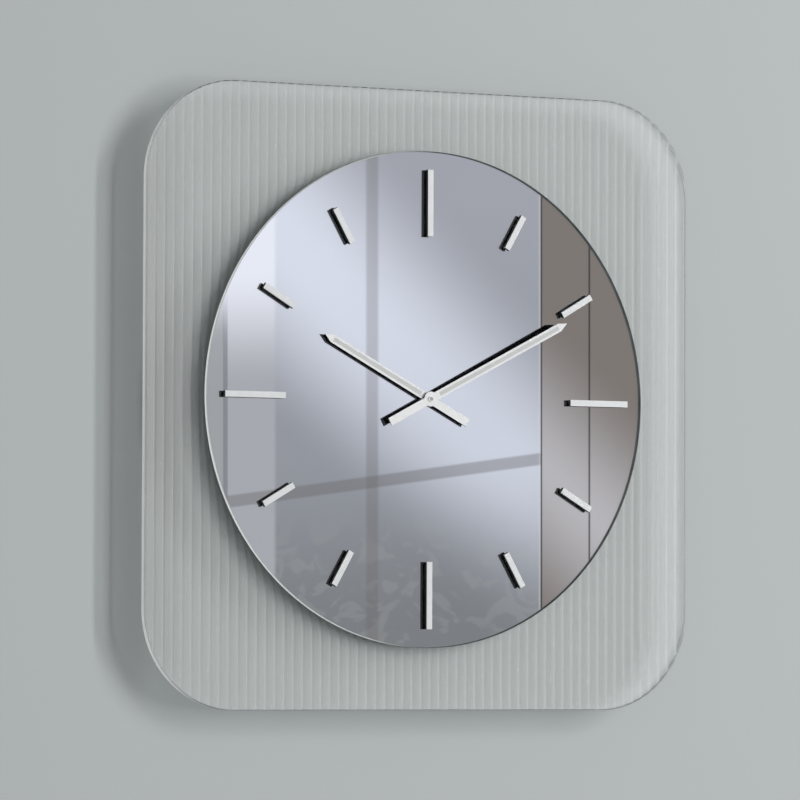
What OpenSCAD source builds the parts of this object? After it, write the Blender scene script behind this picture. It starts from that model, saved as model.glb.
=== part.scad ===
/* [Panel] */
// Width of the fluted panel
panel_w = 498; // [440:1:600]
// Height of the fluted panel
panel_h = 500; // [440:1:600]
// Corner radius of the fluted panel
panel_corner_r = 80; // [20:1:110]
// Thickness of the panel over the crests of its flutes
panel_t = 6; // [5:0.5:10]
// Width of one flute
flute_pitch = 8.3; // [6:0.1:14]
// Height of a flute's crest above its valley
flute_h = 0.9; // [0.4:0.1:1.4]
// Thickness of the pale film on the back of the panel
panel_film_t = 0.3; // [0.2:0.1:0.5]
// Space between the wall and the back of the panel
panel_standoff = 22; // [21.5:0.5:40]

/* [Mirror] */
// Diameter of the round mirror
mirror_d = 400; // [390:1:430]
// Thickness of the mirror's glass
mirror_glass_t = 3.7; // [3:0.1:6]
// Thickness of the silvering with its protective film
silvering_t = 0.3; // [0.2:0.1:0.6]
// Space between the flute crests and the back of the mirror
mirror_gap = 5; // [4.8:0.1:12]
// Diameter of the hole in the middle of the mirror
mirror_bore_d = 9.5; // [6:0.1:11]

/* [Hour bars] */
// Radius of the circle through the middles of the hour bars
bar_ring_r = 158; // [140:1:168]
// Length of the bars at 12, 3, 6 and 9
long_bar_l = 54; // [30:1:60]
// Length of the other eight bars
short_bar_l = 31; // [16:1:50]
// Width of every hour bar
hour_bar_w = 5; // [3:0.5:12]
// Thickness of the black body of a bar
bar_body_t = 3; // [1:0.1:3.4]
// Thickness of the satin metal face of a bar
bar_face_t = 0.6; // [0.3:0.1:1]

/* [Hands] */
// Length of the hour hand from the centre to its point
hour_hand_l = 108; // [70:1:112]
// Length of the hour hand's tail
hour_tail_l = 40; // [15:1:60]
// Length of the minute hand from the centre to its point
minute_hand_l = 140; // [100:1:180]
// Length of the minute hand's tail
minute_tail_l = 42; // [15:1:60]
// Width of both hands
hand_w = 6.8; // [5:0.1:11]
// Thickness of the hands
hand_t = 1; // [0.8:0.1:1.4]
// Length of a hand's pointed end
hand_tip_l = 7.5; // [4:0.5:20]
// Diameter of the round hub of a hand
hand_hub_d = 12; // [11:0.5:16]
// Width of the shallow channel along the face of a hand
channel_w = 3.4; // [2:0.1:4]
// Depth of the shallow channel
channel_h = 0.3; // [0.1:0.1:0.4]
// Metal left between the channel and the pointed end
channel_end_l = 9; // [5:0.5:20]
// Space between the mirror and the back of the hour hand
hour_hand_gap = 1.7; // [1.2:0.1:4]
// Depth of the collet under the hour hand
hour_collet_h = 1.2; // [0.6:0.1:1.2]
// Diameter of the collet under the hour hand
hour_collet_d = 8; // [7:0.1:9]
// Space between the hour hand and the minute hand
hand_gap = 1.2; // [0.8:0.1:3]
// Angle at which the minute hand's blade is bent away from the mirror
blade_lift = 1.7; // [0:0.1:3]
// Angle of the hour hand, clockwise from 12
hour_angle = -62.4; // [-180:0.1:180]
// Angle of the minute hand, clockwise from 12
minute_angle = 62.6; // [-180:0.1:180]
// Diameter of the round nut on the minute hand
hand_nut_d = 5.2; // [4:0.1:8]
// Thickness of the round nut on the minute hand
hand_nut_t = 0.8; // [0.6:0.1:2]

/* [Hanging] */
// Length of the two rear bars
rear_bar_l = 200; // [190:1:260]
// Height of the two rear bars
rear_bar_h = 28; // [26:0.5:36]
// Thickness of the two rear bars
rear_bar_t = 2; // [1.5:0.5:4]
// Distance between the centre lines of the two rear bars
rear_bar_spacing = 160; // [120:1:200]
// Distance between the two posts on a rear bar
post_spacing = 160; // [120:1:170]
// Thickness of the rubber bumpers on the wall
bumper_t = 3; // [2.8:0.1:8]
// Diameter of the rubber bumpers
bumper_d = 12; // [6:0.5:14]
// Distance from the end of a bar to the centre of its bumper
bumper_inset = 8; // [7:0.5:8]
// Diameter of the keyhole's entry
keyhole_d = 10; // [8:0.5:11]
// Width of the keyhole's slot
keyhole_slot_w = 5; // [4.5:0.1:6]
// Height of the screw seat above the middle of the keyhole's entry
keyhole_drop = 9; // [8:0.5:10]
// Height of the screw seat above the bar's centre line
seat_rise = 4; // [3:0.5:5]

/* [Posts] */
// Outer diameter of the spacer posts
post_d = 10; // [8:0.5:14]
// Diameter of the long screws
post_screw_d = 3.9; // [3:0.1:5]
// Diameter of the heads of the long screws
post_head_d = 7.6; // [7:0.1:9]
// Height of the heads of the long screws
post_head_h = 2.4; // [1.5:0.1:2.6]
// Diameter of the nylon washers on both sides of the panel
post_washer_d = 13; // [11:0.5:18]
// Thickness of the nylon washers
post_washer_t = 0.8; // [0.5:0.1:1]
// Wall of the nylon bushes in the panel
panel_bush_wall = 1; // [0.8:0.1:2]
// Diameter of the barrels behind the mirror
standoff_d = 10; // [8:0.5:14]
// Diameter of the flanges bonded to the mirror
standoff_flange_d = 24; // [16:0.5:40]
// Thickness of the flanges bonded to the mirror
standoff_flange_t = 1.2; // [0.8:0.1:1.6]
// Thickness of the adhesive pads on the flanges
bond_pad_t = 0.5; // [0.3:0.1:0.8]
// Metal left over the end of a long screw
standoff_end_t = 0.6; // [0.4:0.1:0.8]

/* [Movement case] */
// Width of the movement's case, which sets the length of the battery's bay
case_w = 56; // [51:0.5:63]
// Depth of the movement's case
case_d = 16.5; // [16.5:0.1:18]
// Thickness of the case's side walls
case_wall = 1.5; // [1.2:0.1:1.8]
// Thickness of the case's front plate
case_front_t = 1.5; // [1.4:0.1:1.8]
// Corner radius of the case
case_corner_r = 3; // [1:0.5:5]
// Thickness of the rear cover
cover_t = 1.4; // [1.2:0.1:1.6]
// Thickness of the rubber gasket between the case and the panel
gasket_t = 0.5; // [0.3:0.1:0.5]
// Diameter of the rubber gasket
gasket_d = 22; // [16:0.5:30]
// Outer diameter of the threaded bush
bush_d = 7.9; // [7:0.1:8.4]
// Bore of the threaded bush
bush_bore_d = 5.2; // [5:0.1:5.6]
// Diameter of the bush's flange
bush_flange_d = 13; // [11:0.5:15]
// Thickness of the bush's flange
bush_flange_t = 0.8; // [0.6:0.1:1]
// Thickness of the steel washer under the nut
bush_washer_t = 0.6; // [0.4:0.1:1]
// Diameter of the steel washer under the nut
bush_washer_d = 15; // [13:0.5:20]
// Width of the hexagonal nut across its flats
bush_nut_af = 11; // [10:0.5:14]
// Thickness of the hexagonal nut
bush_nut_t = 2.4; // [1.6:0.1:2.8]

/* [Battery] */
// Diameter of the AA battery
battery_d = 14.5; // [13.5:0.1:14.5]
// Diameter of the contact button
button_d = 5.5; // [4:0.1:5.5]
// Height of the contact button
button_h = 1.3; // [1:0.1:2]
// Thickness of the battery contacts
contact_t = 0.4; // [0.3:0.1:0.5]

/* [Gear train] */
// Distance from the centre to the third wheel's arbor
third_distance = 10.2; // [10:0.1:10.6]
// Module of the second wheel and of the pinion that drives it
second_module = 0.4; // [0.38:0.01:0.41]
// Module of the intermediate wheel and the rotor pinion
rotor_module = 0.22; // [0.2:0.01:0.23]
// Module of the cannon pinion, the reverser wheel and the knob's gear
cannon_module = 0.25; // [0.25:0.01:0.26]
// Thickness of the wheels
wheel_t = 1; // [0.6:0.1:1.2]
// Diameter of the arbors and studs
arbor_d = 1; // [0.8:0.1:1]
// Diameter of the minute arbor
minute_arbor_d = 3.2; // [3:0.1:3.4]
// Diameter of the minute arbor's end in the minute hand
minute_seat_d = 2.6; // [2.2:0.1:2.8]
// Diameter of the rotor's magnet
magnet_d = 6.2; // [5:0.1:6.4]
// Length of the rotor's magnet
magnet_l = 4; // [3:0.1:4.2]
// Diameter of the setting knob
knob_d = 11; // [8:0.5:14]
// Thickness of the setting knob
knob_t = 2.4; // [1.6:0.1:2.8]

/* [Clearances] */
// Radial clearance of a running fit
run_c = 0.05; // [0.03:0.01:0.08]
// Radial clearance of a fixed part in its hole
fit_c = 0.05; // [0.02:0.01:0.1]
// Clearance between parts that pass freely
free_c = 0.3; // [0.2:0.05:0.4]

/* [Hidden] */
$fn = 64;

// The origin is the seat of the hanging screw on the wall's face.
// X runs to the right, Z up and Y into the wall, so depths in front of the wall are negative.
top_bar_z = -seat_rise;
dial_z = top_bar_z - rear_bar_spacing / 2;
bar_back_y = -bumper_t;
bar_front_y = bar_back_y - rear_bar_t;
panel_back_y = -panel_standoff;
film_back_y = panel_back_y + panel_film_t;
panel_front_y = panel_back_y - panel_t;
mirror_back_y = panel_front_y - mirror_gap;
glass_back_y = mirror_back_y - silvering_t;
mirror_front_y = glass_back_y - mirror_glass_t;
bar_face_back_y = mirror_front_y - bar_body_t;
hour_hand_back_y = mirror_front_y - hour_hand_gap;
hour_hand_front_y = hour_hand_back_y - hand_t;
minute_hand_back_y = hour_hand_front_y - hand_gap;
minute_hand_front_y = minute_hand_back_y - hand_t;
hand_nut_front_y = minute_hand_front_y - hand_nut_t;

// A hand's blade starts inside its hub and its channel a little further out.
blade_root = hand_hub_d / 2 - 1;
blade_overlap = 0.5;
channel_start_l = 4;

// A flute is the crest of a cylinder with this radius.
flute_r = (pow(flute_pitch / 2, 2) + pow(flute_h, 2)) / (2 * flute_h);
flute_count = ceil(panel_w / flute_pitch / 2 - 0.01) * 2;

// Posts stand at the four corners of this rectangle about the middle of the dial.
post_x = post_spacing / 2;
post_z = rear_bar_spacing / 2;
post_bore_d = post_screw_d + 2 * free_c;
panel_bush_d = post_bore_d + 2 * panel_bush_wall;
panel_hole_d = panel_bush_d + 2 * fit_c;
post_hole_end_y = mirror_back_y + bond_pad_t + standoff_end_t;
screw_tip_c = 0.3;
head_floor_t = 0.8;
socket_ratio = 0.4;
rear_bar_corner_r = 4;

// The case hangs on its bush behind the panel, and depths inside start at its front plate.
case_front_y = film_back_y + gasket_t;
floor_y = case_front_y + case_front_t;
case_back_y = case_front_y + case_d;
inner_w = case_w - 2 * case_wall;
room_low = -10;
partition_t = 1.5;
bay_c = 0.25;
bay_top = room_low - partition_t;
bay_low = bay_top - battery_d - 2 * bay_c;
coil_z = 21.6;
bobbin_flange = 7.6;
room_top = coil_z + bobbin_flange / 2 + 1.1;
case_low = bay_low - case_wall;
case_top = room_top + case_wall;
rim_u = case_d - case_front_t - cover_t;
cover_back_u = rim_u + cover_t;

// Gear teeth: counts, and depths from the front plate.
rotor_teeth = 8;
intermediate_teeth = 60;
pinion_teeth = 8;
second_teeth = 32;
third_teeth = 60;
centre_teeth = 64;
cannon_teeth = 12;
reverser_teeth = 36;
reverser_pinion_teeth = 10;
hour_teeth = 40;
knob_teeth = 18;
tooth_root_w = 0.31;
tooth_tip_w = 0.145;
tooth_root_h = 1.2;
wheel_tip_h = 0.8;
pinion_tip_h = 0.7;
third_module = 2 * third_distance / (pinion_teeth + third_teeth);
centre_module = 2 * third_distance / (pinion_teeth + centre_teeth);
reverser_distance = cannon_module * (cannon_teeth + reverser_teeth) / 2;
hour_module = 2 * reverser_distance / (reverser_pinion_teeth + hour_teeth);
intermediate_distance = second_module * (pinion_teeth + second_teeth) / 2;
rotor_distance = rotor_module * (rotor_teeth + intermediate_teeth) / 2;
knob_distance = cannon_module * (reverser_teeth + knob_teeth) / 2;

// Directions from one arbor to the next, counterclockwise from the right.
third_dir = 150;
intermediate_dir = 60;
rotor_dir = -5;
reverser_dir = -40;
knob_dir = 0;

function polar(r, a) = [r * cos(a), r * sin(a)];
third_at = polar(third_distance, third_dir);
intermediate_at = polar(intermediate_distance, intermediate_dir);
rotor_at = intermediate_at + polar(rotor_distance, rotor_dir);
reverser_at = polar(reverser_distance, reverser_dir);
knob_at = reverser_at + polar(knob_distance, knob_dir);

// Depths of the wheels and pinions, from the front plate towards the wall.
hour_wheel_u = 0.6;
cannon_u = 2.2;
centre_wheel_u = 3.8;
third_wheel_u = 5.6;
second_wheel_u = 7.4;
intermediate_wheel_u = 9.2;
pinion_over = 0.2;
bridge_u = 11;
bridge_t = 1.2;
end_play = 0.2;
arbor_end_u = bridge_u + bridge_t - end_play;
pivot_u = 0.6;
pivot_boss_u = 2;
pivot_boss_d = 3;
knob_boss_d = 3.4;
stator_u = 5.2;
stator_t = 0.8;
board_u = 8;
board_t = 1;

// Phases put a tooth of one gear in a gap of the next.
function mesh_phase(phase, teeth_a, teeth_b, dir) =
  dir + 180 - (phase - dir) * teeth_a / teeth_b - 180 / teeth_b;
intermediate_phase = mesh_phase(0, rotor_teeth, intermediate_teeth, rotor_dir + 180);
second_phase = mesh_phase(0, pinion_teeth, second_teeth, intermediate_dir + 180);
third_phase = mesh_phase(0, pinion_teeth, third_teeth, third_dir);
centre_phase = mesh_phase(0, pinion_teeth, centre_teeth, third_dir + 180);
reverser_phase = mesh_phase(0, cannon_teeth, reverser_teeth, reverser_dir);
hour_phase = mesh_phase(0, reverser_pinion_teeth, hour_teeth, reverser_dir + 180);
knob_phase = mesh_phase(reverser_phase, reverser_teeth, knob_teeth, knob_dir);

// Pillars of the case: cover corners, bridge, stator and circuit board.
corner_inset = 2;
corner_x = inner_w / 2 - corner_inset;
low_corner_x = corner_x - 0.7;
low_corner_z = room_low + 2.4;
corner_pillar_d = 3.4;
cover_corners = [[-corner_x, room_top - corner_inset], [corner_x, room_top - corner_inset],
  [-low_corner_x, low_corner_z], [low_corner_x, low_corner_z]];
core_w = 3;
core_l = 23;
core_right = inner_w / 2 - 4.5;
core_left = core_right - core_l;
core_end_l = 3;
coil_left = core_left + core_end_l;
coil_right = core_right - core_end_l;
stator_pin_inset = 1.35;
stator_pillars = [[core_left + stator_pin_inset, coil_z], [core_right - stator_pin_inset, coil_z]];
bridge_pillars = [[-15, room_low + 3.5], [16, room_low + 3], [core_left - 2, 15.5]];
bridge_pillar_d = 3.2;
bridge_pin_d = 1.6;
bridge_rim = 0.4;
stator_pillar_d = 2.4;
stator_pin_d = 1.2;
stator_pin_over = 0.6;
board_w = 6.7;
board_left = -inner_w / 2 + 0.1;
board_mid_x = board_left + board_w / 2;
board_pillars = [[board_mid_x, 7], [board_mid_x, 18]];
board_pillar_d = 2.2;
board_pin_d = 1;
board_pin_over = 0.4;
stud_over = 0.3;
stud_shoulder_d = 2;
stud_shoulder_u = 0.3;
cover_screw_d = 1.6;
cover_head_d = 3.2;
cover_head_h = 0.8;
cover_screw_l = 4.5;
cover_screw_play = 0.5;

// Coaxial arbors at the centre, and the knob's shaft.
bush_over = 0.6;
bush_end_y = panel_front_y - bush_washer_t - bush_nut_t - bush_over;
hour_pipe_d = bush_bore_d - 2 * run_c;
hour_pipe_bore_d = minute_arbor_d + 2 * run_c;
cannon_shaft_d = 2 * cannon_module * (cannon_teeth / 2 - tooth_root_h);
knob_pivot_d = 1.6;
knob_shaft_d = 2.4;
knob_flutes = 24;
knob_flute_w = 0.7;

// Stator, coil and circuit board.
magnet_c = 0.5;
stator_ring_w = 1.9;
stator_ring_r = magnet_d / 2 + magnet_c + stator_ring_w;
leg_top = coil_z + 2.4;
left_leg_x = coil_left - free_c;
right_leg_x = coil_right + free_c;
coil_u = stator_u + 1.5 * stator_t;
bobbin_flange_t = 0.8;
bobbin_tube_d = 4.6;
winding_d = 7;
winding_c = 0.05;
leg_low = coil_z - bobbin_flange / 2 - free_c;
arm_low = leg_low - 3;
board_low = room_low + 5;
board_l = 26;
board_front_u = board_u + board_t;
board_tab_x = board_left + board_w - 1.4;
chip_d = 5;
chip_h = 1.2;
chip_dome_r = 3.6;
chip_z = board_low + 6.5;
crystal_d = 2;
crystal_l = 6;
crystal_z = board_low + 14;

// Battery bay and contacts.
contact_w = 8;
contact_strip_u = 6;
contact_bump_h = 0.3;
contact_gap = 0.2;
contact_slot_w = 1.2;
contact_slot_c = 0.5;
contact_tab_l = 2;
spring_low = 0.4;
spring_high = 1.2;
bay_mid = (bay_low + bay_top) / 2;
battery_u = battery_d / 2 + free_c;
spring_room = 1.6;
battery_right = inner_w / 2 - contact_t - contact_bump_h - contact_gap;
battery_left = -inner_w / 2 + spring_room;
battery_l = battery_right - battery_left;

// Extrudes a drawing of the dial's plane between two depths, seen from the front.
module dial_slab(back, front) {
  translate([0, back, dial_z])
    rotate([90, 0, 0])
      linear_extrude(back - front)
        children();
}

// The same, between two depths inside the case.
module inner_slab(from_u, to_u) {
  dial_slab(floor_y + to_u, floor_y + from_u)
    children();
}

module ring(outer_d, inner_d) {
  difference() {
    circle(d = outer_d);
    circle(d = inner_d);
  }
}

module at_posts() {
  for (sx = [-1, 1], sz = [-1, 1])
    translate([sx * post_x, sz * post_z])
      children();
}

module at_points(points) {
  for (p = points)
    translate(p)
      children();
}

module rounded_rect(w, h, r) {
  square([w - 2 * r, h], center = true);
  square([w, h - 2 * r], center = true);
  for (sx = [-1, 1], sy = [-1, 1])
    translate([sx * (w / 2 - r), sy * (h / 2 - r)])
      circle(r = r);
}

// Outline of a gear with straight-sided teeth. Widths are shares of the pitch and depths are
// shares of the module, and the slim teeth leave the backlash.
function tooth_points(teeth, module_size, phase, tip) = [
  for (i = [0 : teeth - 1])
    for (corner = [[-tooth_root_w, -tooth_root_h], [-tooth_tip_w, tip], [tooth_tip_w, tip],
      [tooth_root_w, -tooth_root_h]])
      polar(module_size * (teeth / 2 + corner[1]), phase + (i + corner[0]) * 360 / teeth)
];

module wheel_shape(teeth, module_size, phase) {
  polygon(tooth_points(teeth, module_size, phase, wheel_tip_h));
}

module pinion_shape(teeth, module_size, phase) {
  polygon(tooth_points(teeth, module_size, phase, pinion_tip_h));
}

module fluted_panel() {
  color([0.72, 0.75, 0.74])
    difference() {
      intersection() {
        dial_slab(panel_back_y, panel_front_y)
          rounded_rect(panel_w, panel_h, panel_corner_r);
        translate([0, 0, dial_z - panel_h / 2])
          linear_extrude(panel_h)
            flute_section();
      }
      dial_slab(panel_back_y + 1, panel_front_y - 1)
        panel_holes();
    }
}

module panel_holes() {
  circle(d = bush_d + 2 * free_c);
  at_posts()
    circle(d = panel_hole_d);
}

module panel_film() {
  color([0.78, 0.82, 0.80])
    dial_slab(film_back_y, panel_back_y)
      difference() {
        rounded_rect(panel_w, panel_h, panel_corner_r);
        panel_holes();
      }
}

// Section across the flutes, seen from above: a row of overlapping circles.
module flute_section() {
  for (i = [0 : flute_count - 1])
    translate([(i - (flute_count - 1) / 2) * flute_pitch, panel_front_y + flute_r])
      circle(r = flute_r);
}

module mirror_glass() {
  color([0.80, 0.82, 0.86])
    dial_slab(glass_back_y, mirror_front_y)
      ring(mirror_d, mirror_bore_d);
}

module mirror_silvering() {
  color([0.62, 0.63, 0.66])
    dial_slab(mirror_back_y, glass_back_y)
      ring(mirror_d, mirror_bore_d);
}

module mirror_standoffs() {
  color([0.75, 0.76, 0.78])
    difference() {
      union() {
        dial_slab(mirror_back_y + bond_pad_t + standoff_flange_t, mirror_back_y + bond_pad_t)
          at_posts()
            circle(d = standoff_flange_d);
        dial_slab(panel_front_y - post_washer_t, mirror_back_y + bond_pad_t)
          at_posts()
            circle(d = standoff_d);
      }
      dial_slab(panel_front_y, post_hole_end_y)
        at_posts()
          circle(d = post_screw_d + 2 * fit_c);
    }
}

module standoff_pads() {
  color([0.18, 0.18, 0.19])
    dial_slab(mirror_back_y + bond_pad_t, mirror_back_y)
      at_posts()
        circle(d = standoff_flange_d);
}

module panel_bushes() {
  color([0.90, 0.90, 0.87])
    dial_slab(film_back_y, panel_front_y)
      at_posts()
        ring(panel_bush_d, post_bore_d);
}

module panel_washers() {
  color([0.90, 0.90, 0.87]) {
    dial_slab(film_back_y + post_washer_t, film_back_y)
      at_posts()
        ring(post_washer_d, post_bore_d);
    dial_slab(panel_front_y, panel_front_y - post_washer_t)
      at_posts()
        ring(post_washer_d, post_bore_d);
  }
}

module spacer_posts() {
  color([0.72, 0.73, 0.75])
    dial_slab(bar_front_y, film_back_y + post_washer_t)
      at_posts()
        ring(post_d, post_bore_d);
}

module post_screws() {
  color([0.60, 0.61, 0.63]) {
    dial_slab(bar_back_y + post_head_h, bar_back_y)
      at_posts()
        difference() {
          circle(d = post_head_d);
          circle(d = post_head_d * socket_ratio, $fn = 6);
        }
    dial_slab(bar_back_y + head_floor_t, post_hole_end_y + screw_tip_c)
      at_posts()
        circle(d = post_screw_d);
  }
}

// One rear bar about its own middle, with its two screw holes.
module rear_bar_shape() {
  difference() {
    rounded_rect(rear_bar_l, rear_bar_h, rear_bar_corner_r);
    for (sx = [-1, 1])
      translate([sx * post_x, 0])
        circle(d = post_bore_d);
  }
}

module keyhole_shape() {
  slot_top = seat_rise - keyhole_slot_w / 2;
  translate([0, seat_rise - keyhole_drop])
    circle(d = keyhole_d);
  translate([-keyhole_slot_w / 2, seat_rise - keyhole_drop])
    square([keyhole_slot_w, slot_top - seat_rise + keyhole_drop]);
  translate([0, slot_top])
    circle(d = keyhole_slot_w);
}

module hanger_bar() {
  color([0.55, 0.56, 0.58])
    dial_slab(bar_back_y, bar_front_y)
      translate([0, post_z])
        difference() {
          rear_bar_shape();
          keyhole_shape();
        }
}

module lower_bar() {
  color([0.55, 0.56, 0.58])
    dial_slab(bar_back_y, bar_front_y)
      translate([0, -post_z])
        rear_bar_shape();
}

module wall_bumpers() {
  color([0.12, 0.12, 0.12])
    dial_slab(0, bar_back_y)
      for (sx = [-1, 1], sz = [-1, 1])
        translate([sx * (rear_bar_l / 2 - bumper_inset), sz * post_z])
          circle(d = bumper_d);
}

// Footprint of the bar at one hour, on the ring of bars.
module bar_footprint(hour) {
  bar_l = hour % 3 == 0 ? long_bar_l : short_bar_l;
  rotate(-30 * hour)
    translate([0, bar_ring_r])
      square([hour_bar_w, bar_l], center = true);
}

module hour_bar(hour) {
  color([0.06, 0.06, 0.07])
    dial_slab(mirror_front_y, bar_face_back_y)
      bar_footprint(hour);
}

module hour_bar_01() { hour_bar(1); }
module hour_bar_02() { hour_bar(2); }
module hour_bar_03() { hour_bar(3); }
module hour_bar_04() { hour_bar(4); }
module hour_bar_05() { hour_bar(5); }
module hour_bar_06() { hour_bar(6); }
module hour_bar_07() { hour_bar(7); }
module hour_bar_08() { hour_bar(8); }
module hour_bar_09() { hour_bar(9); }
module hour_bar_10() { hour_bar(10); }
module hour_bar_11() { hour_bar(11); }
module hour_bar_12() { hour_bar(12); }

module bar_faces() {
  color([0.88, 0.89, 0.89])
    dial_slab(bar_face_back_y, bar_face_back_y - bar_face_t)
      for (hour = [1 : 12])
        bar_footprint(hour);
}

module movement_case() {
  color([0.10, 0.10, 0.11])
    difference() {
      union() {
        case_shell();
        case_pillars();
        reverser_stud();
      }
      case_holes();
    }
}

// Tray with a room for the train above and a bay for the battery below.
module case_shell() {
  difference() {
    dial_slab(case_back_y, case_front_y)
      case_outline();
    inner_slab(0, case_d)
      union() {
        translate([-inner_w / 2, room_low])
          square([inner_w, room_top - room_low]);
        translate([-inner_w / 2, bay_low])
          square([inner_w, bay_top - bay_low]);
      }
    inner_slab(rim_u, case_d)
      cover_area();
  }
}

module case_outline() {
  translate([0, (case_low + case_top) / 2])
    rounded_rect(case_w, case_top - case_low, case_corner_r);
}

// The cover closes the room of the train and leaves the battery's bay open.
module cover_area() {
  translate([-case_w, room_low - partition_t / 2])
    square([2 * case_w, case_top - case_low]);
}

module case_pillars() {
  inner_slab(-case_front_t / 2, rim_u)
    at_points(cover_corners)
      circle(d = corner_pillar_d);
  inner_slab(-case_front_t / 2, bridge_u)
    at_points(bridge_pillars)
      circle(d = bridge_pillar_d);
  inner_slab(bridge_u - 1, bridge_u + bridge_t)
    at_points(bridge_pillars)
      circle(d = bridge_pin_d);
  inner_slab(-case_front_t / 2, stator_u)
    at_points(stator_pillars)
      circle(d = stator_pillar_d);
  inner_slab(stator_u - 1, stator_u + 2 * stator_t + stator_pin_over)
    at_points(stator_pillars)
      circle(d = stator_pin_d);
  inner_slab(-case_front_t / 2, board_u)
    at_points(board_pillars)
      circle(d = board_pillar_d);
  inner_slab(board_u - 1, board_front_u + board_pin_over)
    at_points(board_pillars)
      circle(d = board_pin_d);
  inner_slab(-case_front_t / 2, pivot_boss_u)
    at_points([third_at, rotor_at])
      circle(d = pivot_boss_d);
  inner_slab(-case_front_t / 2, cannon_u - 2 * end_play)
    translate(knob_at)
      circle(d = knob_boss_d);
}

// The reverser wheel turns on this stud.
module reverser_stud() {
  inner_slab(-case_front_t / 2, cannon_u + wheel_t + stud_over)
    translate(reverser_at)
      circle(d = arbor_d);
  inner_slab(-case_front_t / 2, stud_shoulder_u)
    translate(reverser_at)
      circle(d = stud_shoulder_d);
}

module case_holes() {
  dial_slab(floor_y + 0.01, case_front_y - 1)
    circle(d = bush_d + 2 * fit_c);
  inner_slab(-bush_flange_t, 0.01)
    circle(d = bush_flange_d + 2 * fit_c);
  inner_slab(pivot_u - end_play, pivot_boss_u + 1)
    at_points([third_at, rotor_at])
      circle(d = arbor_d + 2 * run_c);
  inner_slab(pivot_u - end_play, pivot_boss_u + 1)
    translate(knob_at)
      circle(d = knob_pivot_d + 2 * run_c);
  inner_slab(rim_u - cover_screw_l - cover_screw_play, rim_u + 1)
    at_points(cover_corners)
      circle(d = cover_screw_d + 2 * fit_c);
  inner_slab(contact_strip_u - contact_gap, case_d)
    for (x = [-inner_w / 2, inner_w / 2 - contact_slot_w])
      translate([x, bay_top - contact_slot_c])
        square([contact_slot_w, partition_t + 2 * contact_slot_c]);
}

module movement_cover() {
  color([0.12, 0.12, 0.13])
    difference() {
      inner_slab(rim_u, cover_back_u)
        difference() {
          intersection() {
            case_outline();
            cover_area();
          }
          translate(knob_at)
            circle(d = knob_shaft_d + 2 * run_c);
          at_points(cover_corners)
            circle(d = cover_screw_d + 2 * fit_c);
        }
      inner_slab(cover_back_u - cover_head_h, cover_back_u + 1)
        at_points(cover_corners)
          circle(d = cover_head_d + 2 * fit_c);
    }
}

module cover_screws() {
  color([0.70, 0.71, 0.73]) {
    inner_slab(cover_back_u - cover_head_h, cover_back_u)
      at_points(cover_corners)
        circle(d = cover_head_d);
    inner_slab(rim_u - cover_screw_l, cover_back_u - cover_head_h)
      at_points(cover_corners)
        circle(d = cover_screw_d);
  }
}

module threaded_bush() {
  color([0.78, 0.63, 0.30])
    difference() {
      union() {
        inner_slab(-bush_flange_t, 0)
          circle(d = bush_flange_d);
        dial_slab(floor_y, bush_end_y)
          circle(d = bush_d);
      }
      dial_slab(floor_y + 1, bush_end_y - 1)
        circle(d = bush_bore_d);
    }
}

module bush_gasket() {
  color([0.14, 0.14, 0.14])
    dial_slab(case_front_y, film_back_y)
      ring(gasket_d, bush_d + 2 * fit_c);
}

module bush_washer() {
  color([0.72, 0.73, 0.74])
    dial_slab(panel_front_y, panel_front_y - bush_washer_t)
      ring(bush_washer_d, bush_d + 2 * fit_c);
}

module bush_nut() {
  color([0.78, 0.63, 0.30])
    dial_slab(panel_front_y - bush_washer_t, panel_front_y - bush_washer_t - bush_nut_t)
      difference() {
        circle(d = bush_nut_af / cos(30), $fn = 6);
        circle(d = bush_d + 2 * fit_c);
      }
}

// Plate that carries the rear ends of the arbors.
module train_bridge() {
  color([0.85, 0.85, 0.80])
    difference() {
      union() {
        inner_slab(bridge_u, bridge_u + bridge_t)
          bridge_shape();
        inner_slab(second_wheel_u - 0.5, bridge_u + bridge_t / 2)
          translate(intermediate_at)
            circle(d = arbor_d);
      }
      inner_slab(bridge_u - 1, bridge_u + bridge_t + 1) {
        at_points([[0, 0], third_at, rotor_at])
          circle(d = arbor_d + 2 * run_c);
        translate(knob_at)
          circle(d = knob_shaft_d + 2 * run_c);
        at_points(bridge_pillars)
          circle(d = bridge_pin_d + 2 * fit_c);
      }
    }
}

module bridge_shape() {
  margin = bridge_pillar_d / 2 + bridge_rim;
  left = bridge_pillars[0][0] - margin;
  right = bridge_pillars[1][0] + margin;
  low = bridge_pillars[0][1] - margin;
  top = bridge_pillars[2][1] + margin;
  polygon([[left, low], [right, low], [right, rotor_at[1] + 4], [rotor_at[0] - 4, top],
    [bridge_pillars[2][0] - margin, top], [left, third_at[1] + 3]]);
}

module circuit_board() {
  color([0.10, 0.35, 0.20])
    inner_slab(board_u, board_u + board_t)
      difference() {
        translate([board_left, board_low])
          square([board_w, board_l]);
        at_points(board_pillars)
          circle(d = board_pin_d + 2 * fit_c);
      }
}

module control_chip() {
  color([0.05, 0.05, 0.06])
    translate([board_mid_x, floor_y + board_front_u, dial_z + chip_z])
      rotate([-90, 0, 0])
        intersection() {
          cylinder(d = chip_d, h = chip_h);
          translate([0, 0, chip_h - chip_dome_r])
            sphere(r = chip_dome_r);
        }
}

module quartz_crystal() {
  color([0.80, 0.81, 0.83])
    translate([board_mid_x, floor_y + board_front_u + crystal_d / 2, dial_z + crystal_z])
      cylinder(d = crystal_d, h = crystal_l);
}

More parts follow.
